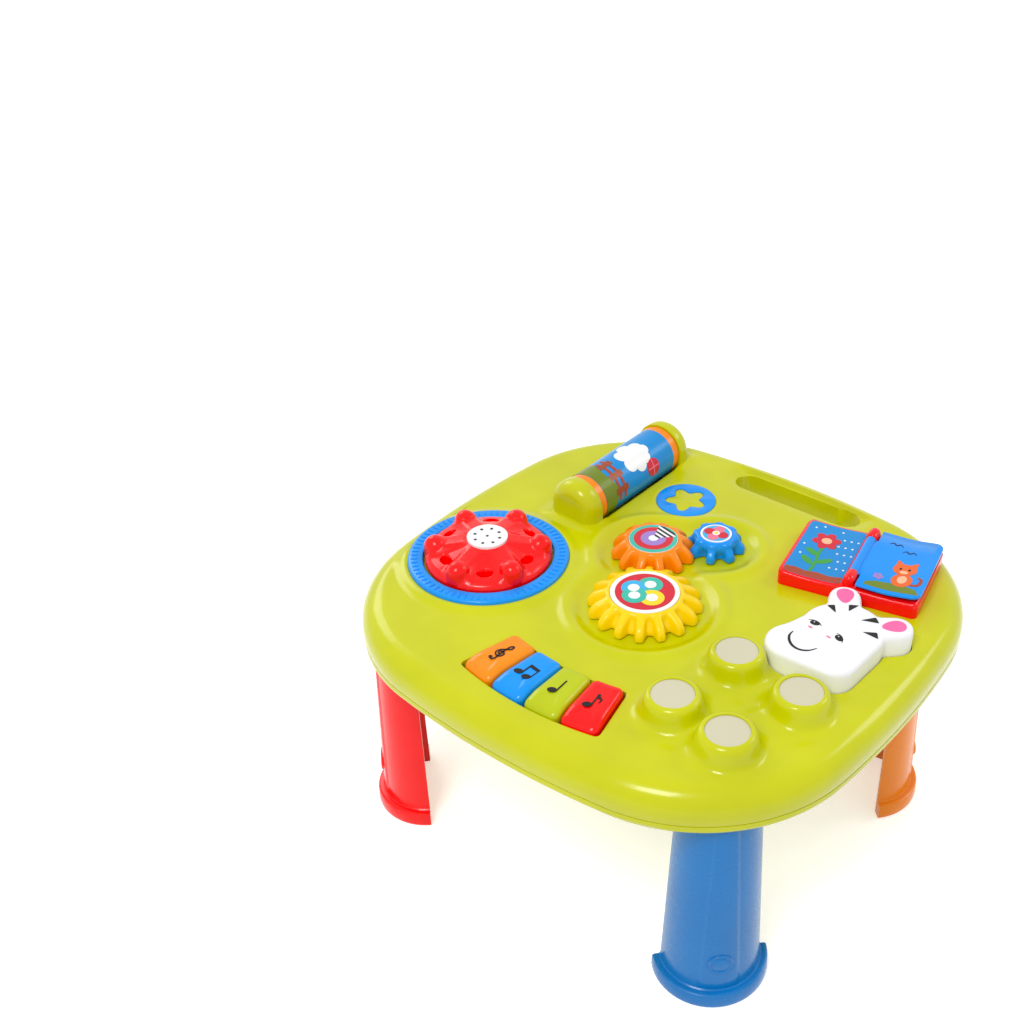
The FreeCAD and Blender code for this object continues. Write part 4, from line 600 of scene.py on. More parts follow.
def make_top_casing():
    rim = casing_outline(EDGE_R)
    loops = [divided(plan, 2.2) for plan, low in windows]
    flat, edges = [], []

    def add_loop(loop):
        start = len(flat)
        flat.extend(loop)
        edges.extend((start + i, start + (i + 1) % len(loop)) for i in range(len(loop)))
        return start

    rim_start = add_loop(rim)
    starts = [add_loop(loop) for loop in loops]
    for loop in loops:
        flat.extend(offset_outline(loop, -0.8))
    dome_rings = []
    for lx, ly in LENSES:
        for r in (13.6, 14.6, 15.7, 16.6, 17.2, 17.8, 18.4, 19.2, 20.4, 22.2, 24.6):
            dome_rings.extend(circle_points(lx, ly, r, 72))
    dome = np.array(dome_rings)
    axis_x = np.arange(-HALF_W, HALF_W, GRID)
    axis_y = np.arange(-HALF_D, HALF_D, GRID)
    gx, gy = (v.ravel() for v in np.meshgrid(axis_x, axis_y))
    keep = inside(casing_outline(EDGE_R + 1.4, 24), gx, gy)
    dome_keep = np.ones(len(dome), bool)
    for k, loop in enumerate(loops):
        grown = offset_outline(loop, -1.7)
        keep &= ~inside(grown, gx, gy)
        if k >= len(LENSES):
            dome_keep &= ~inside(grown, dome[:, 0], dome[:, 1])
    for lx, ly in LENSES:
        keep &= np.hypot(gx - lx, gy - ly) > 25.4
    dome_keep &= inside(casing_outline(EDGE_R + 0.6, 24), dome[:, 0], dome[:, 1])
    flat.extend(map(tuple, dome[dome_keep]))
    flat.extend(zip(gx[keep].tolist(), gy[keep].tolist()))
    flat = [Vector(p) for p in flat]
    points, _, triangles, origin, *_ = mathutils.geometry.delaunay_2d_cdt(flat, edges, [], 0, 1e-4, True)
    px = np.array([p.x for p in points])
    py = np.array([p.y for p in points])
    tri = np.array([t for t in triangles if len(t) == 3])
    cx, cy = px[tri].mean(axis=1), py[tri].mean(axis=1)
    solid = np.ones(len(tri), bool)
    for loop in loops:
        solid &= ~inside(loop, cx, cy)
    where = {}
    for i, sources in enumerate(origin):
        for source in sources:
            where[source] = i
    height = TOP + relief(px, py)
    for start, loop in zip(starts, loops):
        for i in range(len(loop)):
            height[where[start + i]] -= 0.35
    verts = list(zip(px.tolist(), py.tolist(), height.tolist()))
    faces = [tuple(t) for t in tri[solid].tolist()]

    def skirt(upper, lower):
        """Join a closed run of vertex numbers to new points and return the new points' numbers."""
        base, size = len(verts), len(lower)
        verts.extend(lower)
        for i in range(size):
            j = (i + 1) % size
            faces.append((upper[i], upper[j], base + j, base + i))
        return range(base, base + size)

    # rounded rim, side wall and the lip at the seam
    previous = [where[rim_start + i] for i in range(len(rim))]
    turns = [math.pi / 2 * i / 14 for i in range(13, -1, -1)]
    profile = [(EDGE_R * (1 - math.cos(a)), TOP - EDGE_R + EDGE_R * math.sin(a)) for a in turns]
    profile += [(0.0, SEAM + 1.0), (0.3, SEAM + 0.25), (1.0, SEAM + 0.02), (2.4, SEAM + 0.02)]
    for inset, z in profile + [(2.4, SEAM + 6)]:
        previous = skirt(previous, [(x, y, z) for x, y in casing_outline(inset)])
    # walls of the windows
    for (_, low), start, loop in zip(windows, starts, loops):
        skirt([where[start + i] for i in range(len(loop))], [(x, y, low) for x, y in loop])
    return piece("casing_top", (verts, faces), "green", "casing", "top_shell", 50)


make_top_casing()
for tag, plan, level in (("ring_floor", circle_points(*WHEEL, 53.1, 96), TOP + 0.02),
                         ("star_floor", circle_points(*STAR, 21.1, 64), TOP - 0.75)):
    rings = [[(x, y, level - 0.6) for x, y in plan], [(x, y, level) for x, y in plan]]
    piece(f"casing_{tag}", rings_mesh(rings), "green", "casing", None, 30)


def make_cheek(tag, sign):
    """Rounded green bearing block at one end of the roller."""
    inner = ROLLER[1] + sign * (ROLLER_HALF + 0.5)
    turns = [math.pi / 2 * i / 10 for i in range(1, 11)]
    profile = [(19.0, 0.0), (19.2, 0.5), (19.2, 4.5)]
    profile += [polar(9.0, a, 10.2, 4.5) for a in turns]
    rings = []
    for radius, out in profile:
        ring = []
        for j in range(64):
            a = math.pi * min(max((j - 6) / 51, 0.0), 1.0)
            drop = 12.0 * max(0.0, (6 - j) / 6, (j - 57) / 6)
            ring.append((ROLLER[0] + radius * math.cos(a), inner + sign * out,
                         TOP + 8 + radius * math.sin(a) - drop))
        rings.append(ring)
    verts, faces = joined(rings), skin(len(rings), 64)
    for index in (0, len(rings) - 1):
        middle = len(verts)
        verts.append((ROLLER[0], rings[index][0][1], TOP + 8))
        for j in range(64):
            faces.append((index * 64 + j, index * 64 + (j + 1) % 64, middle))
    piece(f"cheek_{tag}", (verts, faces), "green", "casing", None, 50)


make_cheek("front", -1)
make_cheek("back", 1)


# printed shapes that lie on a face: a mapper turns (across, up, rise) into a point
def on_plane(x, y, z, degrees=0.0):
    c, s = math.cos(math.radians(degrees)), math.sin(math.radians(degrees))
    return lambda u, v, rise: (x + u * c - v * s, y + u * s + v * c, z + rise)


def patch(name, outline, mapper, look, body, rise=0.12, loops=1):
    count = len(outline)
    mu = sum(p[0] for p in outline) / count
    mv = sum(p[1] for p in outline) / count
    rings = [[mapper(u, v, -0.08) for u, v in outline]]
    for k in range(loops):
        t = 1 - k / loops
        rings.append([mapper(mu + (u - mu) * t, mv + (v - mv) * t, rise) for u, v in outline])
    verts, faces = rings_mesh(rings, False)
    verts[-1] = mapper(mu, mv, rise)
    return piece(name, (verts, faces), look, body, None, 50)


def ribbon(name, points, widths, mapper, look, body, rise=0.14):
    """A printed line; widths is one width or a list of them, spread evenly along it."""
    widths = widths if isinstance(widths, list) else [widths]
    verts, faces = [], []
    last = len(points) - 1
    for i, (u, v) in enumerate(points):
        a, b = points[max(0, i - 1)], points[min(last, i + 1)]
        dx, dy = b[0] - a[0], b[1] - a[1]
        length = math.hypot(dx, dy) or 1
        w = np.interp(i / last, np.linspace(0, 1, len(widths)), widths)
        nx, ny = -dy / length * w / 2, dx / length * w / 2
        for side in (1, -1):
            verts.append(mapper(u + side * nx, v + side * ny, rise))
            verts.append(mapper(u + side * nx, v + side * ny, -0.08))
    for i in range(last):
        a, b = 4 * i, 4 * i + 4
        faces += [(a, b, b + 2, a + 2), (a + 1, b + 1, b, a), (a + 2, b + 2, b + 3, a + 3)]
    faces += [(0, 2, 3, 1), (4 * last, 4 * last + 1, 4 * last + 3, 4 * last + 2)]
    return piece(name, (verts, faces), look, body, None, 50)


def placed(spots, u, v, degrees=0.0):
    """A small drawing, turned and set at a place."""
    c, s = math.cos(math.radians(degrees)), math.sin(math.radians(degrees))
    return [(u + p * c - q * s, v + p * s + q * c) for p, q in spots]


def ellipse(u, v, a, b, degrees=0.0, count=32):
    turns = [TAU * i / count for i in range(count)]
    return placed([(a * math.cos(t), b * math.sin(t)) for t in turns], u, v, degrees)


# steering wheel: one soft moulding of rim, six broad lobes with round knobs and small finger windows
WHEEL_TURN = math.radians(38.4)
LOBES = 6
KNOB_AT, KNOB_R, KNOB_BASE = 34.2, 7.6, 10.6
WINDOW_AT, WINDOW_FLOOR = 30.4, 2.9


def wheel_surface(r, a):
    """Height of the wheel's face at a radius and a heading."""
    phase = ((a - WHEEL_TURN) * LOBES / TAU + 0.5) % 1 - 0.5
    side = abs(phase) * TAU / LOBES * r
    valley = np.interp(r, [13, 15, 19, 24, 29, 33, 36, 38, 40, 41.6],
                       [17.0, 16.3, 14.6, 12.6, 10.9, 9.7, 8.9, 8.3, 6.9, 4.6])
    crown = np.interp(r, [13, 15, 20, 28, 34, 38, 40, 41.6], [17.0, 16.8, 16.0, 14.8, 13.6, 10.6, 7.6, 4.8])
    z = valley + (crown - valley) * (1 - smoothstep(2.5 + r * 0.05, 7.0 + r * 0.14, side))
    away = math.hypot(r - KNOB_AT, side)
    if away < KNOB_R:
        z = smooth_max([z, KNOB_BASE + math.sqrt(KNOB_R ** 2 - away ** 2)], 0.7)
    gap = (0.5 - abs(phase)) * TAU / LOBES * r
    out = math.hypot((r - WINDOW_AT) / 2.7, gap / 4.4)
    if out < 1.3:
        z = WINDOW_FLOOR + (z - WINDOW_FLOOR) * smoothstep(0.84, 1.28, out)
    return z


def make_wheel():
    count = 480
    rings = [level_ring(13.4, 16.4, count)]
    for i in range(63):
        r = 13.5 + 0.45 * i
        ring = level_ring(r, 0, count)
        rings.append([(x, y, wheel_surface(r, TAU * j / count)) for j, (x, y, _) in enumerate(ring)])
    for grow, z in ((1.004, 3.2), (0.995, 1.6), (0.95, 0.6)):
        rings.append([(x * grow, y * grow, z) for x, y, _ in ring])
    piece("wheel_moulding", rings_mesh(rings), "red", "wheel", "steering_wheel", 60,
          Matrix.Translation((*WHEEL, TOP)))
    # black discs on the hub cap: painted shade for the dark insides of its nine holes, drawn with the black
    # print look
    hole_shade_plane = on_plane(*WHEEL, TOP + 18.38)
    for i in range(9):
        reach = 8.6 if i else 0.0
        a = math.radians(45 * i + 22.5)
        hole = ellipse(*polar(reach, a), 0.95, 0.95)
        patch(f"hub_hole_painted_shade_{i}", hole, hole_shade_plane, "print_black", "wheel", 0.1)


make_wheel()


# tick ring: a soft-edged ring with raised ticks round the wheel
def make_ticks():
    place = Matrix.Translation((*WHEEL, TOP))
    profile = [(42.9, 0.3), (42.9, 3.9), (43.3, 4.4), (43.9, 4.5), (51.2, 4.5), (52.2, 4.2), (52.8, 3.4)]
    rings = lathe(profile + [(52.8, 0.3)], 180)
    around = rings_mesh(rings + rings[:1], False, False)
    piece("ring_body", around, "blue", "casing", "tick_ring", 40, place)
    verts, faces = [], []
    for i in range(72):
        a = TAU * i / 72
        block = []
        for r in (46.4, 50.4):
            for side in (-0.42, 0.42):
                block.append((r * math.cos(a) - side * math.sin(a), r * math.sin(a) + side * math.cos(a)))
        base = len(verts)
        for z in (4.4, 4.95):
            verts.extend((px, py, z) for px, py in (block[0], block[2], block[3], block[1]))
        faces.append(tuple(base + 4 + k for k in range(4)))
        for k in range(4):
            n = (k + 1) % 4
            faces.append((base + k, base + n, base + 4 + n, base + 4 + k))
    piece("ring_ticks", (verts, faces), "blue", "casing", None, 30, place)


make_ticks()


# star badge: a blue disc with a fat rounded star left open to the green
STAR_FACING = math.radians(74)
STAR_POINTS = 200


def star_ring(grow, z, tip=14.6, notch=9.4):
    """A fat five-armed star's outline."""
    ring = []
    for i in range(STAR_POINTS):
        a = TAU * i / STAR_POINTS
        phase = ((a / TAU * 5) + 0.5) % 1 - 0.5
        r = notch + (tip - notch) * (1 - smoothstep(0.02, 0.5, abs(phase)))
        ring.append((*polar(r * grow, a + STAR_FACING), z))
    return ring


def make_star():
    rings = [star_ring(grow, z) for grow, z in ((1.0, -1.2), (1.0, 0.35), (1.03, 0.5))]
    turns = [TAU * i / STAR_POINTS + STAR_FACING for i in range(STAR_POINTS)]
    for r, z in ((20.2, 0.5), (20.75, 0.3), (20.9, -0.2), (20.9, -1.2)):
        rings.append([(*polar(r, a), z) for a in turns])
    place = Matrix.Translation((*STAR, TOP))
    plate = rings_mesh(rings, False, False)
    piece("star_plate", plate, "blue", "casing", "star_badge", 40, place)
    rings = [star_ring(grow, z) for grow, z in ((0.97, -1.2), (0.97, -0.1), (0.9, 0.15))]
    piece("star_green", rings_mesh(rings, False), "green", "casing", None, 40, place)


make_star()


# keys: soft pillows with a black note on each
def note_head(tag, u, v, mapper, body):
    patch(f"note_{tag}", ellipse(u, v, 2.9, 2.1, 22), mapper, "print_black", body)


def note_line(tag, points, widths, mapper, body, rise=0.14):
    ribbon(f"note_{tag}", points, widths, mapper, "print_black", body, rise)


def soft_rectangle(half_w, half_h, corner, side=14, bend=7):
    """A rounded rectangle, anticlockwise, with the same number of points whatever its size."""
    points = []
    w, h = half_w - corner, half_h - corner
    for cx, cy, start in ((w, -h, -90), (w, h, 0), (-w, h, 90), (-w, -h, 180)):
        for i in range(bend + 1):
            a = math.radians(start + 90 * i / bend)
            points.append(polar(corner, a, cx, cy))
        x0, y0 = points[-1]
        nx, ny = {-90: (half_w, h), 0: (-w, half_h), 90: (-half_w, -h), 180: (w, -half_h)}[start]
        for i in range(1, side):
            t = i / side
            points.append((x0 + (nx - x0) * t, y0 + (ny - y0) * t))
    return points


def make_keys():
    each = KEY_SPAN / 4
    levels = [(0.0, -6.0), (0.0, 0.6), (0.2, 1.7), (0.7, 2.7), (1.5, 3.5), (2.6, 4.1), (4.0, 4.4),
              (6.0, 4.55)]
    for i, colour in enumerate(("orange", "blue", "green", "red")):
        first = KEY_FIRST + each * i
        heading = first + each / 2
        half = math.radians(each / 2 - 0.13) * KEY_MIDDLE
        rings = []
        for inset, z in levels:
            ring = []
            for across, along in soft_rectangle(half - inset, 19.8 - inset, max(0.8, 4.6 - inset)):
                out = KEY_MIDDLE + along
                a = math.radians(heading) + across / KEY_MIDDLE
                drop = 2.6 * smoothstep(209, 222.5, out) if z > 0 else 0
                ring.append((*polar(out, a, *KEY_CENTRE), TOP + z - drop))
            rings.append(ring)
        body = f"key_{colour}_body"
        look = "green_key" if colour == "green" else colour
        piece(f"key_{colour}_cap", rings_mesh(rings), look, body, f"key_{colour}", 50)
        a = math.radians(heading)
        spot = polar(KEY_MIDDLE - 1, a, *KEY_CENTRE)
        face = on_plane(*spot, TOP + 4.5, heading + 90)
        if colour == "orange":
            swirl = [(0.4, -1.0), (-1.2, -1.6), (-1.6, 0.2), (0.2, 1.2), (2.2, -0.2), (1.8, -2.8),
                     (-0.8, -3.6), (-3.0, -1.8), (-2.6, 1.4), (-0.2, 4.0), (1.7, 6.4), (1.2, 8.6),
                     (-0.3, 7.6), (-0.4, 4.2), (0.5, -2.0), (1.1, -6.2), (0.1, -8.0), (-1.7, -7.4)]
            note_line("sign", smooth_run(swirl, 6), [0.7, 1.2, 0.9, 1.3, 1.0, 0.8], face, body)
            patch("note_sign_dot", ellipse(-1.6, -7.1, 1.2, 1.2), face, "print_black", body, 0.18)
        elif colour == "blue":
            note_head("blue_left", -4.2, -4.0, face, body)
            note_head("blue_right", 2.8, -4.8, face, body)
            note_line("blue_stem_left", [(-1.8, -3.4), (-1.8, 4.8)], 0.9, face, body)
            note_line("blue_stem_right", [(5.2, -4.2), (5.2, 4.0)], 0.9, face, body)
            note_line("blue_beam", [(-2.2, 4.2), (5.6, 3.4)], 2.2, face, body, 0.18)
        elif colour == "green":
            note_head("green", -2.0, -4.4, face, body)
            note_line("green_stem", [(0.5, -3.8), (0.5, 6.6)], 0.9, face, body)
        else:
            note_head("red", -2.4, -4.4, face, body)
            note_line("red_stem", [(0.1, -3.8), (0.1, 6.2)], 0.9, face, body)
            flag = smooth_run([(0.1, 6.2), (1.2, 3.8), (3.4, 2.4), (3.2, -0.6)], 5)
            note_line("red_flag", flag, [2.0, 1.6, 0.5], face, body, 0.18)


make_keys()


# animal head button: a white rounded form with a printed face
def make_head():
    levels = [(0.0, -6.0), (0.0, 10.8), (0.25, 12.1), (0.95, 13.2), (1.9, 13.8), (3.1, 14.0)]
    plan = head_outline(0.0, 6)
    rings = [[(x, y, TOP + z) for x, y in offset_outline(plan, inset)] for inset, z in levels]
    piece("head_form", rings_mesh(rings), "white", "head_button_body", "animal_head_button", 60)
    face = on_plane(0, 0, TOP + 14.0)

    def mark(tag, outline, ink="black", rise=0.12):
        patch(f"face_{tag}", outline, face, f"print_{ink}", "head_button_body", rise)

    def stroke(tag, points, widths):
        ribbon(f"face_{tag}", points, widths, face, "print_black", "head_button_body")

    lash = smooth_run([(-4.6, 1.2), (-2.6, 1.9), (0, 2.0), (2.6, 1.0), (4.6, -0.8)], 4)
    for tag, u, v, lean in (("left", 105.8, 8.2, 8), ("right", 124.3, 4.3, -30)):
        mark(f"eye_{tag}", ellipse(u, v, 3.1, 2.0, lean))
        glint = placed([(-0.8, 0.0)], u, v + 0.7, lean)[0]
        mark(f"glint_{tag}", ellipse(*glint, 0.45, 0.35, lean, 16), "white", 0.2)
        stroke(f"lash_{tag}", placed(lash, u, v, lean), [0.15, 1.0, 1.0, 0.15])
    mark("cheek_left", ellipse(105.6, 3.2, 1.7, 0.7, -10, 20), "pink")
    mark("cheek_right", ellipse(118.9, 1.6, 1.7, 0.7, -10, 20), "pink")
    smile = [(99.6, -6.4), (99.8, -10.8), (102.4, -15.2), (106.6, -18.3), (111.6, -18.9), (116.2, -16.4),
             (119.1, -11.7)]
    stroke("smile", smooth_run(smile, 6), [0.5, 1.5, 1.7, 1.6, 1.3, 0.4])
    turns = [TAU * i / 40 for i in range(40)]
    drop = [(7.4 * math.cos(t) - 0.6, 5.2 * math.sin(t) * (1.0 + 0.28 * math.cos(t))) for t in turns]
    for tag, u, v, toward in (("left", 106.2, 43.6, 118), ("right", 145.2, 34.6, 42)):
        mark(f"ear_{tag}", placed(drop, u, v, toward), "rose")
    stripes = [[(102.4, 28), (110.6, 24.6), (106.1, 31.2)], [(116.0, 30.6), (118.2, 39.6), (112.8, 36.4)],
               [(126.0, 27.4), (136.4, 31.3), (132.0, 35.2)], [(132.3, 18.0), (143.2, 17.6), (139.7, 22.6)]]
    for i, corners in enumerate(stripes):
        mark(f"stripe_{i}", round_corners(corners, 1.0, 3))


make_head()


# book: a red base with dished pages, a hinged blue leaf and red knuckles
BOOK_AXIS = 13.3
BOOK_HALF_W, BOOK_HALF_D = 45.5, 33.5
HINGE_CLEAR = 3.6
LEAF_HALF = 1.1


def page_level(u):
    """Height of the dished base across the book."""
    t = min(1.0, abs(u) / BOOK_HALF_W)
    return (9.3 if u < 0 else 9.7) + 1.4 * (2 * t - 1) ** 2


def leaf_level(u):
    """Height of the leaf's middle across the book."""
    t = min(1.0, u / BOOK_HALF_W)
    if t < 0.5:
        return BOOK_AXIS - 0.7 * smoothstep(0.05, 0.5, t)
    return BOOK_AXIS - 0.7 + 2.0 * smoothstep(0.5, 1.06, t)


def book_point(u, v, z):
    c, s = math.cos(BOOK_TURN), math.sin(BOOK_TURN)
    return (BOOK[0] + u * c - v * s, BOOK[1] + u * s + v * c, TOP + z)


def page_half(u, half_w, half_d, corner):
    over = abs(u) - (half_w - corner)
    if over <= 0:
        return half_d
    return half_d - corner + math.sqrt(max(0.0, corner ** 2 - over ** 2))


def loft_book(name, columns, section, look, body, node=None):
    rings = [[book_point(u, v, z) for v, z in section(u)] for u in columns]
    return piece(name, rings_mesh(rings), look, body, node, 45)


def base_section(u):
    v = page_half(u, BOOK_HALF_W, BOOK_HALF_D, 4.0)
    top = page_level(u) - 1.4 * (1 - smoothstep(BOOK_HALF_W, 43.2, abs(u)))
    if abs(u) < HINGE_CLEAR:
        top = min(top, BOOK_AXIS - math.sqrt(HINGE_CLEAR ** 2 - u * u) - 0.1)
    r = 1.6
    rim = [(0.0, r), (0.3 * r, 0.3 * r), (r, 0.0)]
    left = [(-v, 0.1)] + [(-v + i, top - drop) for i, drop in rim] + [(-v * 0.5, top), (0, top)]
    return left + [(v * 0.5, top)] + [(v - i, top - drop) for i, drop in rim[::-1]] + [(v, 0.1), (0, 0.1)]


def leaf_section(u):
    v = page_half(u - 24.6, 20.9, 32.2, 6.0) if u > 30 else 32.2 if u > 5.0 else 20.0
    mid = leaf_level(u)
    h = LEAF_HALF * (0.75 if u > 45.2 else 1.0)
    return [(-v, mid - 0.5 * h), (-v, mid + 0.5 * h), (-v + 0.6, mid + h), (-v * 0.5, mid + h),
            (0, mid + h), (v * 0.5, mid + h), (v - 0.6, mid + h), (v, mid + 0.5 * h), (v, mid - 0.5 * h),
            (v - 0.6, mid - h), (0, mid - h), (-v + 0.6, mid - h)]


def make_book():
    ends = [42, 43.2, 44.2, 44.9, 45.3, 45.5]
    hinge = [-3.61, -3.59, -3, -2, -1, 0, 1, 2, 3, 3.59, 3.61]
    columns = [-u for u in ends[::-1]] + [-40 + 2.0 * i for i in range(18)]
    columns += hinge + [6 + 2.0 * i for i in range(18)] + ends
    loft_book("book_body", columns, base_section, "red", "casing", "book_base")
    columns = [2.0, 3.4, 5.0, 5.05] + [6 + 1.6 * i for i in range(22)]
    columns += [41.2, 42.4, 43.4, 44.3, 44.9, 45.3, 45.5]
    loft_book("leaf_plate", columns, leaf_section, "blue", "leaf_body", "book_leaf")
    barrel = bar_along([book_point(0, -19.9 + 39.8 * i / 6, BOOK_AXIS) for i in range(7)], 3.15, 28)
    piece("leaf_barrel", barrel, "blue", "leaf_body", None, 50)
    turns = [math.pi * i / 18 for i in range(19)]
    for tag, sign in (("front", -1), ("back", 1)):
        rings = []
        for v, r in ((20.4, 3.0), (20.7, 3.6), (21.3, 3.9), (29.0, 3.9), (30.6, 3.4), (31.4, 2.4)):
            arch = [(-r * math.cos(a), BOOK_AXIS + r * math.sin(a)) for a in turns]
            rings.append([book_point(u, sign * v, z) for u, z in [(-r, 7.0), *arch, (r, 7.0)]])
        piece(f"book_knuckle_{tag}", rings_mesh(rings), "red", "casing", None, 50)
    # left page: printed panel over a red margin
    rings = []
    for u in [-43.0 + 1.9 * i for i in range(21)]:
        v = page_half(u + 24.0, 19.1, 31.2, 3.0)
        rings.append([book_point(u, k * v / 8, page_level(u) + 0.14) for k in range(-8, 9)])
    piece("page_left", (joined(rings), skin(len(rings), 17)), "print_blue", "casing",
          "book_picture", 60)

    def left(u, v, rise):
        return book_point(u, v, page_level(u) + 0.14 + rise)

    def right(u, v, rise):
        return book_point(u, v, leaf_level(u) + LEAF_HALF + rise)

    def left_patch(tag, outline, ink, rise=0.12, loops=1):
        patch(f"page_left_{tag}", outline, left, f"print_{ink}", "casing", rise, loops)

    def leaf_patch(tag, outline, ink, rise=0.12, loops=1):
        patch(f"leaf_{tag}", outline, right, f"print_{ink}", "leaf_body", rise, loops)

    ground = [(-42.6, -31), (-42.6, -25.6), (-36, -24.2), (-29, -25.4), (-22, -23.8), (-14, -25.2),
              (-5.4, -24.0), (-5.4, -31)]
    left_patch("ground", divided(ground, 2.0), "rust", 0.06, 6)
    stem = smooth_run([(-27, -24.6), (-26.4, -14), (-27.6, -4), (-27, 6)], 5)
    ribbon("page_left_stem", stem, 2.2, left, "print_green", "casing")
    for i, (u, v, turn) in enumerate(((-32.2, -13.5, -38), (-21.4, -10.5, 40), (-31.8, -3.5, -30))):
        left_patch(f"leaf_{i}", ellipse(u, v, 5.6, 2.4, turn), "green", 0.12, 3)
    for i in range(6):
        a = TAU * i / 6 + 0.3
        petal = ellipse(*polar(5.4, a, -27, 12), 4.2, 3.2, math.degrees(a))
        left_patch(f"petal_{i}", petal, "red", 0.16 + 0.01 * i, 3)
    left_patch("middle", ellipse(-27, 12, 3.4, 3.4), "skin", 0.28, 2)
    for i in range(5):
        for j in range(3):
            u, v = -16.5 + 4.6 * j - (i % 2) * 1.6, -16 + 8.4 * i
            left_patch(f"dot_{i}_{j}", ellipse(u, v, 0.75, 0.75, 0, 12), "white")
    for i, (u, v) in enumerate(((-38, 24), (-33, 27.5), (-39.5, 3), (-38.6, -8), (-20, 26))):
        left_patch(f"star_{i}", ellipse(u, v, 0.75, 0.75, 0, 12), "white")
    # right leaf: a hill with a simple ginger kitten shape and a small flower
    hill = [(9, -29.6), (9.6, -26), (16, -22.8), (24, -21.4), (33, -21.8), (41, -24.4), (43.4, -29.6)]
    leaf_patch("hill", divided(hill, 2.0), "olive", 0.08, 5)
    leaf_patch("kitten_body", ellipse(30, -16.4, 6.6, 7.2), "ginger", 0.16, 3)
    leaf_patch("kitten_head", ellipse(29, -4.4, 7.6, 6.2), "ginger", 0.2, 3)
    for tag, corners in (("left", [(22.2, -3.2), (22.6, 5.6), (28.0, 0.6)]),
                         ("right", [(30.2, 0.8), (35.8, 5.2), (35.8, -3.4)])):
        leaf_patch(f"kitten_ear_{tag}", round_corners(corners, 1.0, 3), "ginger", 0.18, 2)
    tail = smooth_run([(35.5, -20), (40.4, -19), (41.4, -13.2), (38.6, -10.6)], 5)
    ribbon("leaf_kitten_tail", tail, [2.4, 2.4, 1.4], right, "print_rust", "leaf_body")
    for i, (u, v) in enumerate(((26.2, -4.0), (31.8, -4.0))):
        leaf_patch(f"kitten_eye_{i}", ellipse(u, v, 0.85, 1.15, 0, 14), "black", 0.28)
    leaf_patch("kitten_muzzle", ellipse(29, -7.4, 2.6, 1.7), "skin", 0.28)
    leaf_patch("kitten_chest", ellipse(30, -15.6, 3.0, 4.2), "skin", 0.24)
    for i in range(5):
        a = TAU * i / 5
        petal = ellipse(*polar(1.9, a, 15.4, -17.4), 1.5, 1.5, 0, 14)
        leaf_patch(f"flower_{i}", petal, "lilac", 0.14 + 0.01 * i)
    for tag, u, v in (("a", 17, 21), ("b", 27, 15)):
        arch = [(u - 4.5, v - 1), (u - 2.4, v + 1.2), (u, v - 0.6), (u + 2.4, v + 1.2), (u + 4.5, v - 1)]
        wings = [0.3, 1.0, 1.2, 1.0, 0.3]
        ribbon(f"leaf_bird_{tag}", smooth_run(arch, 5), wings, right, "print_navy", "leaf_body")


make_book()


# roller label: hill, rail fence, a woolly cloud and a red ball
def drum(s, t, rise):
    """s runs along the drum from its front end, t round it from the side facing right, in mm."""
    r = ROLLER_R + rise
    a = t / ROLLER_R
    return (ROLLER[0] + r * math.cos(a), ROLLER[1] - ROLLER_HALF + s, TOP + 8 + r * math.sin(a))


def make_label():
    around = TAU * ROLLER_R
    puffs = ((0, 0, 8.2), (-7.5, -5, 5.4), (-7.6, 4.4, 5.4), (7.4, -5.4, 5.0), (7.8, 4.2, 5.2),
             (0.5, -8.6, 5.2), (0.5, 8.8, 5.2), (11.2, -0.4, 4.2))
    for side in range(2):
        shift = side * around / 2

        def band(tag, points, width, ink, rise):
            ribbon(f"label_{side}_{tag}", points, width, drum, f"print_{ink}", "roller", rise)

        def spot(tag, outline, ink, rise):
            patch(f"label_{side}_{tag}", outline, drum, f"print_{ink}", "roller", rise, 4)

        for i in range(3):
            band(f"post_{i}", [(17.5 + k, shift + 5 + 11 * i) for k in range(14)], 4.4, "brown", 0.3)
        for i, s in enumerate((21.5, 26.8)):
            band(f"rail_{i}", [(s, shift - 2 + 1.2 * k) for k in range(30)], 2.2, "rust", 0.22)
        for i, (ds, dt, r) in enumerate(puffs):
            puff = ellipse(49 + ds, shift + 21 + dt, r, r, 0, 28)
            spot(f"cloud_{i}", puff, "white", 0.2 + 0.01 * i)
        spot("ball", ellipse(60, shift + 5.5, 6.4, 6.4), "red", 0.34)
        band("ball_band", [(54.2 + 1.16 * k, shift + 5.5) for k in range(11)], 0.8, "pink", 0.42)
        band("ball_bar", [(60, shift - 0.3 + 1.16 * k) for k in range(11)], 0.8, "pink", 0.42)
    count = 144
    waves = [0.5 + 0.5 * math.sin(TAU * 4 * i / count) for i in range(count)]
    rings = []
    for s0, s1, rise in ((6.1, 6.1, 0.14), (10, 10, 0.14), (14, 14, 0.14), (16.5, 20.5, 0.14),
                         (16.5, 20.5, -0.05)):
        steps = [s0 + (s1 - s0) * wave for wave in waves]
        rings.append([drum(s, around * i / count, rise) for i, s in enumerate(steps)])
    hill = rings_mesh(rings, False, False)
    piece("label_hill", hill, "print_olive", "roller", None, 60)


make_label()


# legs: half shells with a raised middle panel, a crescent foot and a round mark
LEG_R, LEG_TAPER, LEG_WALL = 31.0, 6.5, 2.6
FOOT = {0.0: 35.2, 1.0: 35.8, 2.2: 36.0, 9.0: 35.7, 10.4: 35.2, 11.0: 34.2}
MARK_HEIGHT = 34
LEG_SLOPE = 2.6


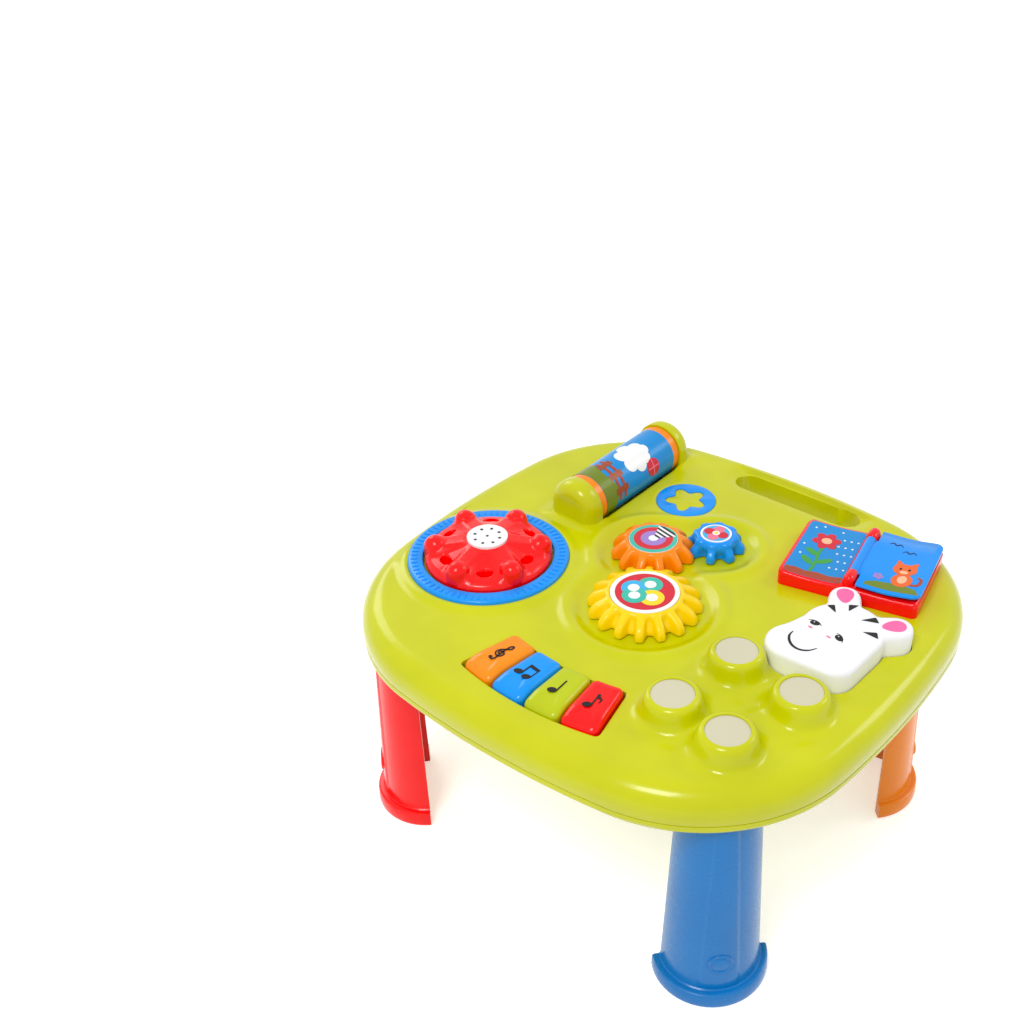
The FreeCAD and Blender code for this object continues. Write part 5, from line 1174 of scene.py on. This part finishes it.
def make_leg(name, x, y, heading, look):
    levels = [0.0, 1.0, 2.2, 9.0, 10.4, 11.0, 11.01, 11.6, 13.0] + [16 + 6.07 * i for i in range(22)]
    count = 96
    cross = []
    for j in range(count + 1):
        off = -math.pi / 2 + math.pi * j / count
        a = math.radians(heading) + off
        outer, inner = [], []
        for z in levels:
            bare = LEG_R - LEG_TAPER * z / BASE
            if z <= 11.0:
                r = FOOT[z]
            else:
                r = bare + (1.3 if z == 11.01 else 0.45 if z == 11.6 else 0.0)
                half = (5.0 + 6.5 * (1 - z / BASE)) / bare
                r += 0.85 * (1 - smoothstep(half, half + 0.09, abs(off))) * smoothstep(11, 16, z)
            outer.append((*polar(r, a, x, y), z))
            q = bare - LEG_WALL
            inner.append((*polar(q, a, x, y), z))
        cross.append(outer + inner[::-1])
    size = len(cross[0])
    faces = skin(count + 1, size, True)
    rows = len(levels)
    for base in (0, count * size):
        for k in range(rows - 1):
            faces.append((base + k, base + k + 1, base + size - 2 - k, base + size - 1 - k))
    body = f"{name}_body"
    piece(f"{name}_shell", (joined(cross), faces), look, body, name, 32)
    rings = []
    turns = [math.radians(heading) - math.pi / 2 + math.pi * j / 48 for j in range(49)]
    for r, z in ((0.1, -LEG_WALL), (24.3, -LEG_WALL), (24.3, -0.2), (20.6, -0.2), (20.5, 0.0), (20.5, 15.2),
                 (19.9, 16.0), (0.1, 16.0)):
        rings.append([(*polar(r, a, x, y), BASE + z) for a in turns])
    piece(f"{name}_spigot", rings_mesh(rings, False, False), look, body)
    mark = lathe([(7.9, -1.0), (7.9, 0.2), (7.5, 0.9), (6.9, 1.0), (6.3, 0.75), (5.9, 0.4), (5.3, 0.4),
                  (4.9, 0.8), (3.4, 1.05), (0.1, 1.1)], 48)
    lean = math.radians(heading)
    reach = LEG_R - LEG_TAPER * MARK_HEIGHT / BASE + 0.7
    spin = Matrix.Rotation(lean, 4, "Z") @ Matrix.Rotation(math.radians(90 - LEG_SLOPE), 4, "Y")
    place = Matrix.Translation((*polar(reach, lean, x, y), MARK_HEIGHT)) @ spin
    piece(f"{name}_mark", rings_mesh(mark, False, False), look, body, None, 40, place)


for leg_name, leg in LEGS.items():
    make_leg(leg_name, *leg)

# floor, camera and lights
floor_mesh = bpy.data.meshes.new("floor")
span = 7.0
floor_mesh.from_pydata([(-span, -span, 0), (span, -span, 0), (span, span, 0), (-span, span, 0)], [],
                       [(0, 1, 2, 3)])
floor = bpy.data.objects.new("floor", floor_mesh)
bpy.context.collection.objects.link(floor)
floor_look = moulded("floor_white", (0.88, 0.88, 0.88, 1), 0.8, 0.0, 0.0, 0.003)


def seen_rays(tree):
    """1 for rays that show the background itself: seen directly, mirrored or through glass."""
    path = add_node(tree, "LightPath", {})
    result = path.outputs["Is Camera Ray"]
    for ray in ("Is Glossy Ray", "Is Transmission Ray"):
        either = add_node(tree, "Math", {}, {0: result, 1: path.outputs[ray]})
        either.operation = "MAXIMUM"
        result = either.outputs[0]
    return result


def whiten_floor(tree):
    plain = tree.nodes["Principled BSDF"].outputs[0]
    glow = add_node(tree, "Emission", {"Color": WHITE, "Strength": 0.5}).outputs[0]
    both = add_node(tree, "AddShader", {}, {0: plain, 1: glow}).outputs[0]
    choice = add_node(tree, "MixShader", {}, {0: seen_rays(tree), 1: plain, 2: both}).outputs[0]
    feed(tree, tree.nodes["Material Output"], {}, {"Surface": choice})


whiten_floor(floor_look.node_tree)
floor_mesh.materials.append(floor_look)

camera_data = bpy.data.cameras.new("camera")
camera = bpy.data.objects.new("camera", camera_data)
bpy.context.collection.objects.link(camera)
right = Vector((0.78596, 0.61826, -0.00490))
up = Vector((-0.36723, 0.47318, 0.80078))
ahead = Vector((-0.49741, 0.62758, -0.59894))
turn = Matrix((right, up, -ahead)).transposed().to_4x4()
camera.matrix_world = Matrix.Translation((0.386716, -0.548507, 0.664101)) @ turn
camera_data.sensor_width = 36
camera_data.lens = 45.73
camera_data.shift_x = -0.0900
camera_data.shift_y = 0.0805
camera_data.clip_start = 0.02
camera_data.clip_end = 30
bpy.context.scene.camera = camera


def lamp(name, spot, target, power, size):
    data = bpy.data.lights.new(name, "AREA")
    data.energy = power
    data.size = size
    obj = bpy.data.objects.new(name, data)
    bpy.context.collection.objects.link(obj)
    obj.location = spot
    obj.rotation_euler = (Vector(target) - Vector(spot)).to_track_quat("-Z", "Y").to_euler()


lamp("key", (0.2, -1.0, 1.5), (0, 0, 0.15), 12.5, 0.5)
lamp("fill", (-1.5, 0.4, 1.1), (0, 0, 0.1), 5, 0.7)
lamp("back", (0.9, 1.3, 1.3), (0, 0, 0.1), 5.2, 0.6)
world = bpy.data.worlds.new("studio")
world.use_nodes = True
bpy.context.scene.world = world
studio = world.node_tree
dim = feed(studio, studio.nodes["Background"], {"Color": WHITE, "Strength": 0.62})
bright = add_node(studio, "Background", {"Color": WHITE, "Strength": 1.0})
pick = add_node(studio, "MixShader", {}, {0: seen_rays(studio), 1: dim.outputs[0], 2: bright.outputs[0]})
feed(studio, studio.nodes["World Output"], {}, {"Surface": pick.outputs[0]})
bpy.context.scene.view_settings.view_transform = "Standard"
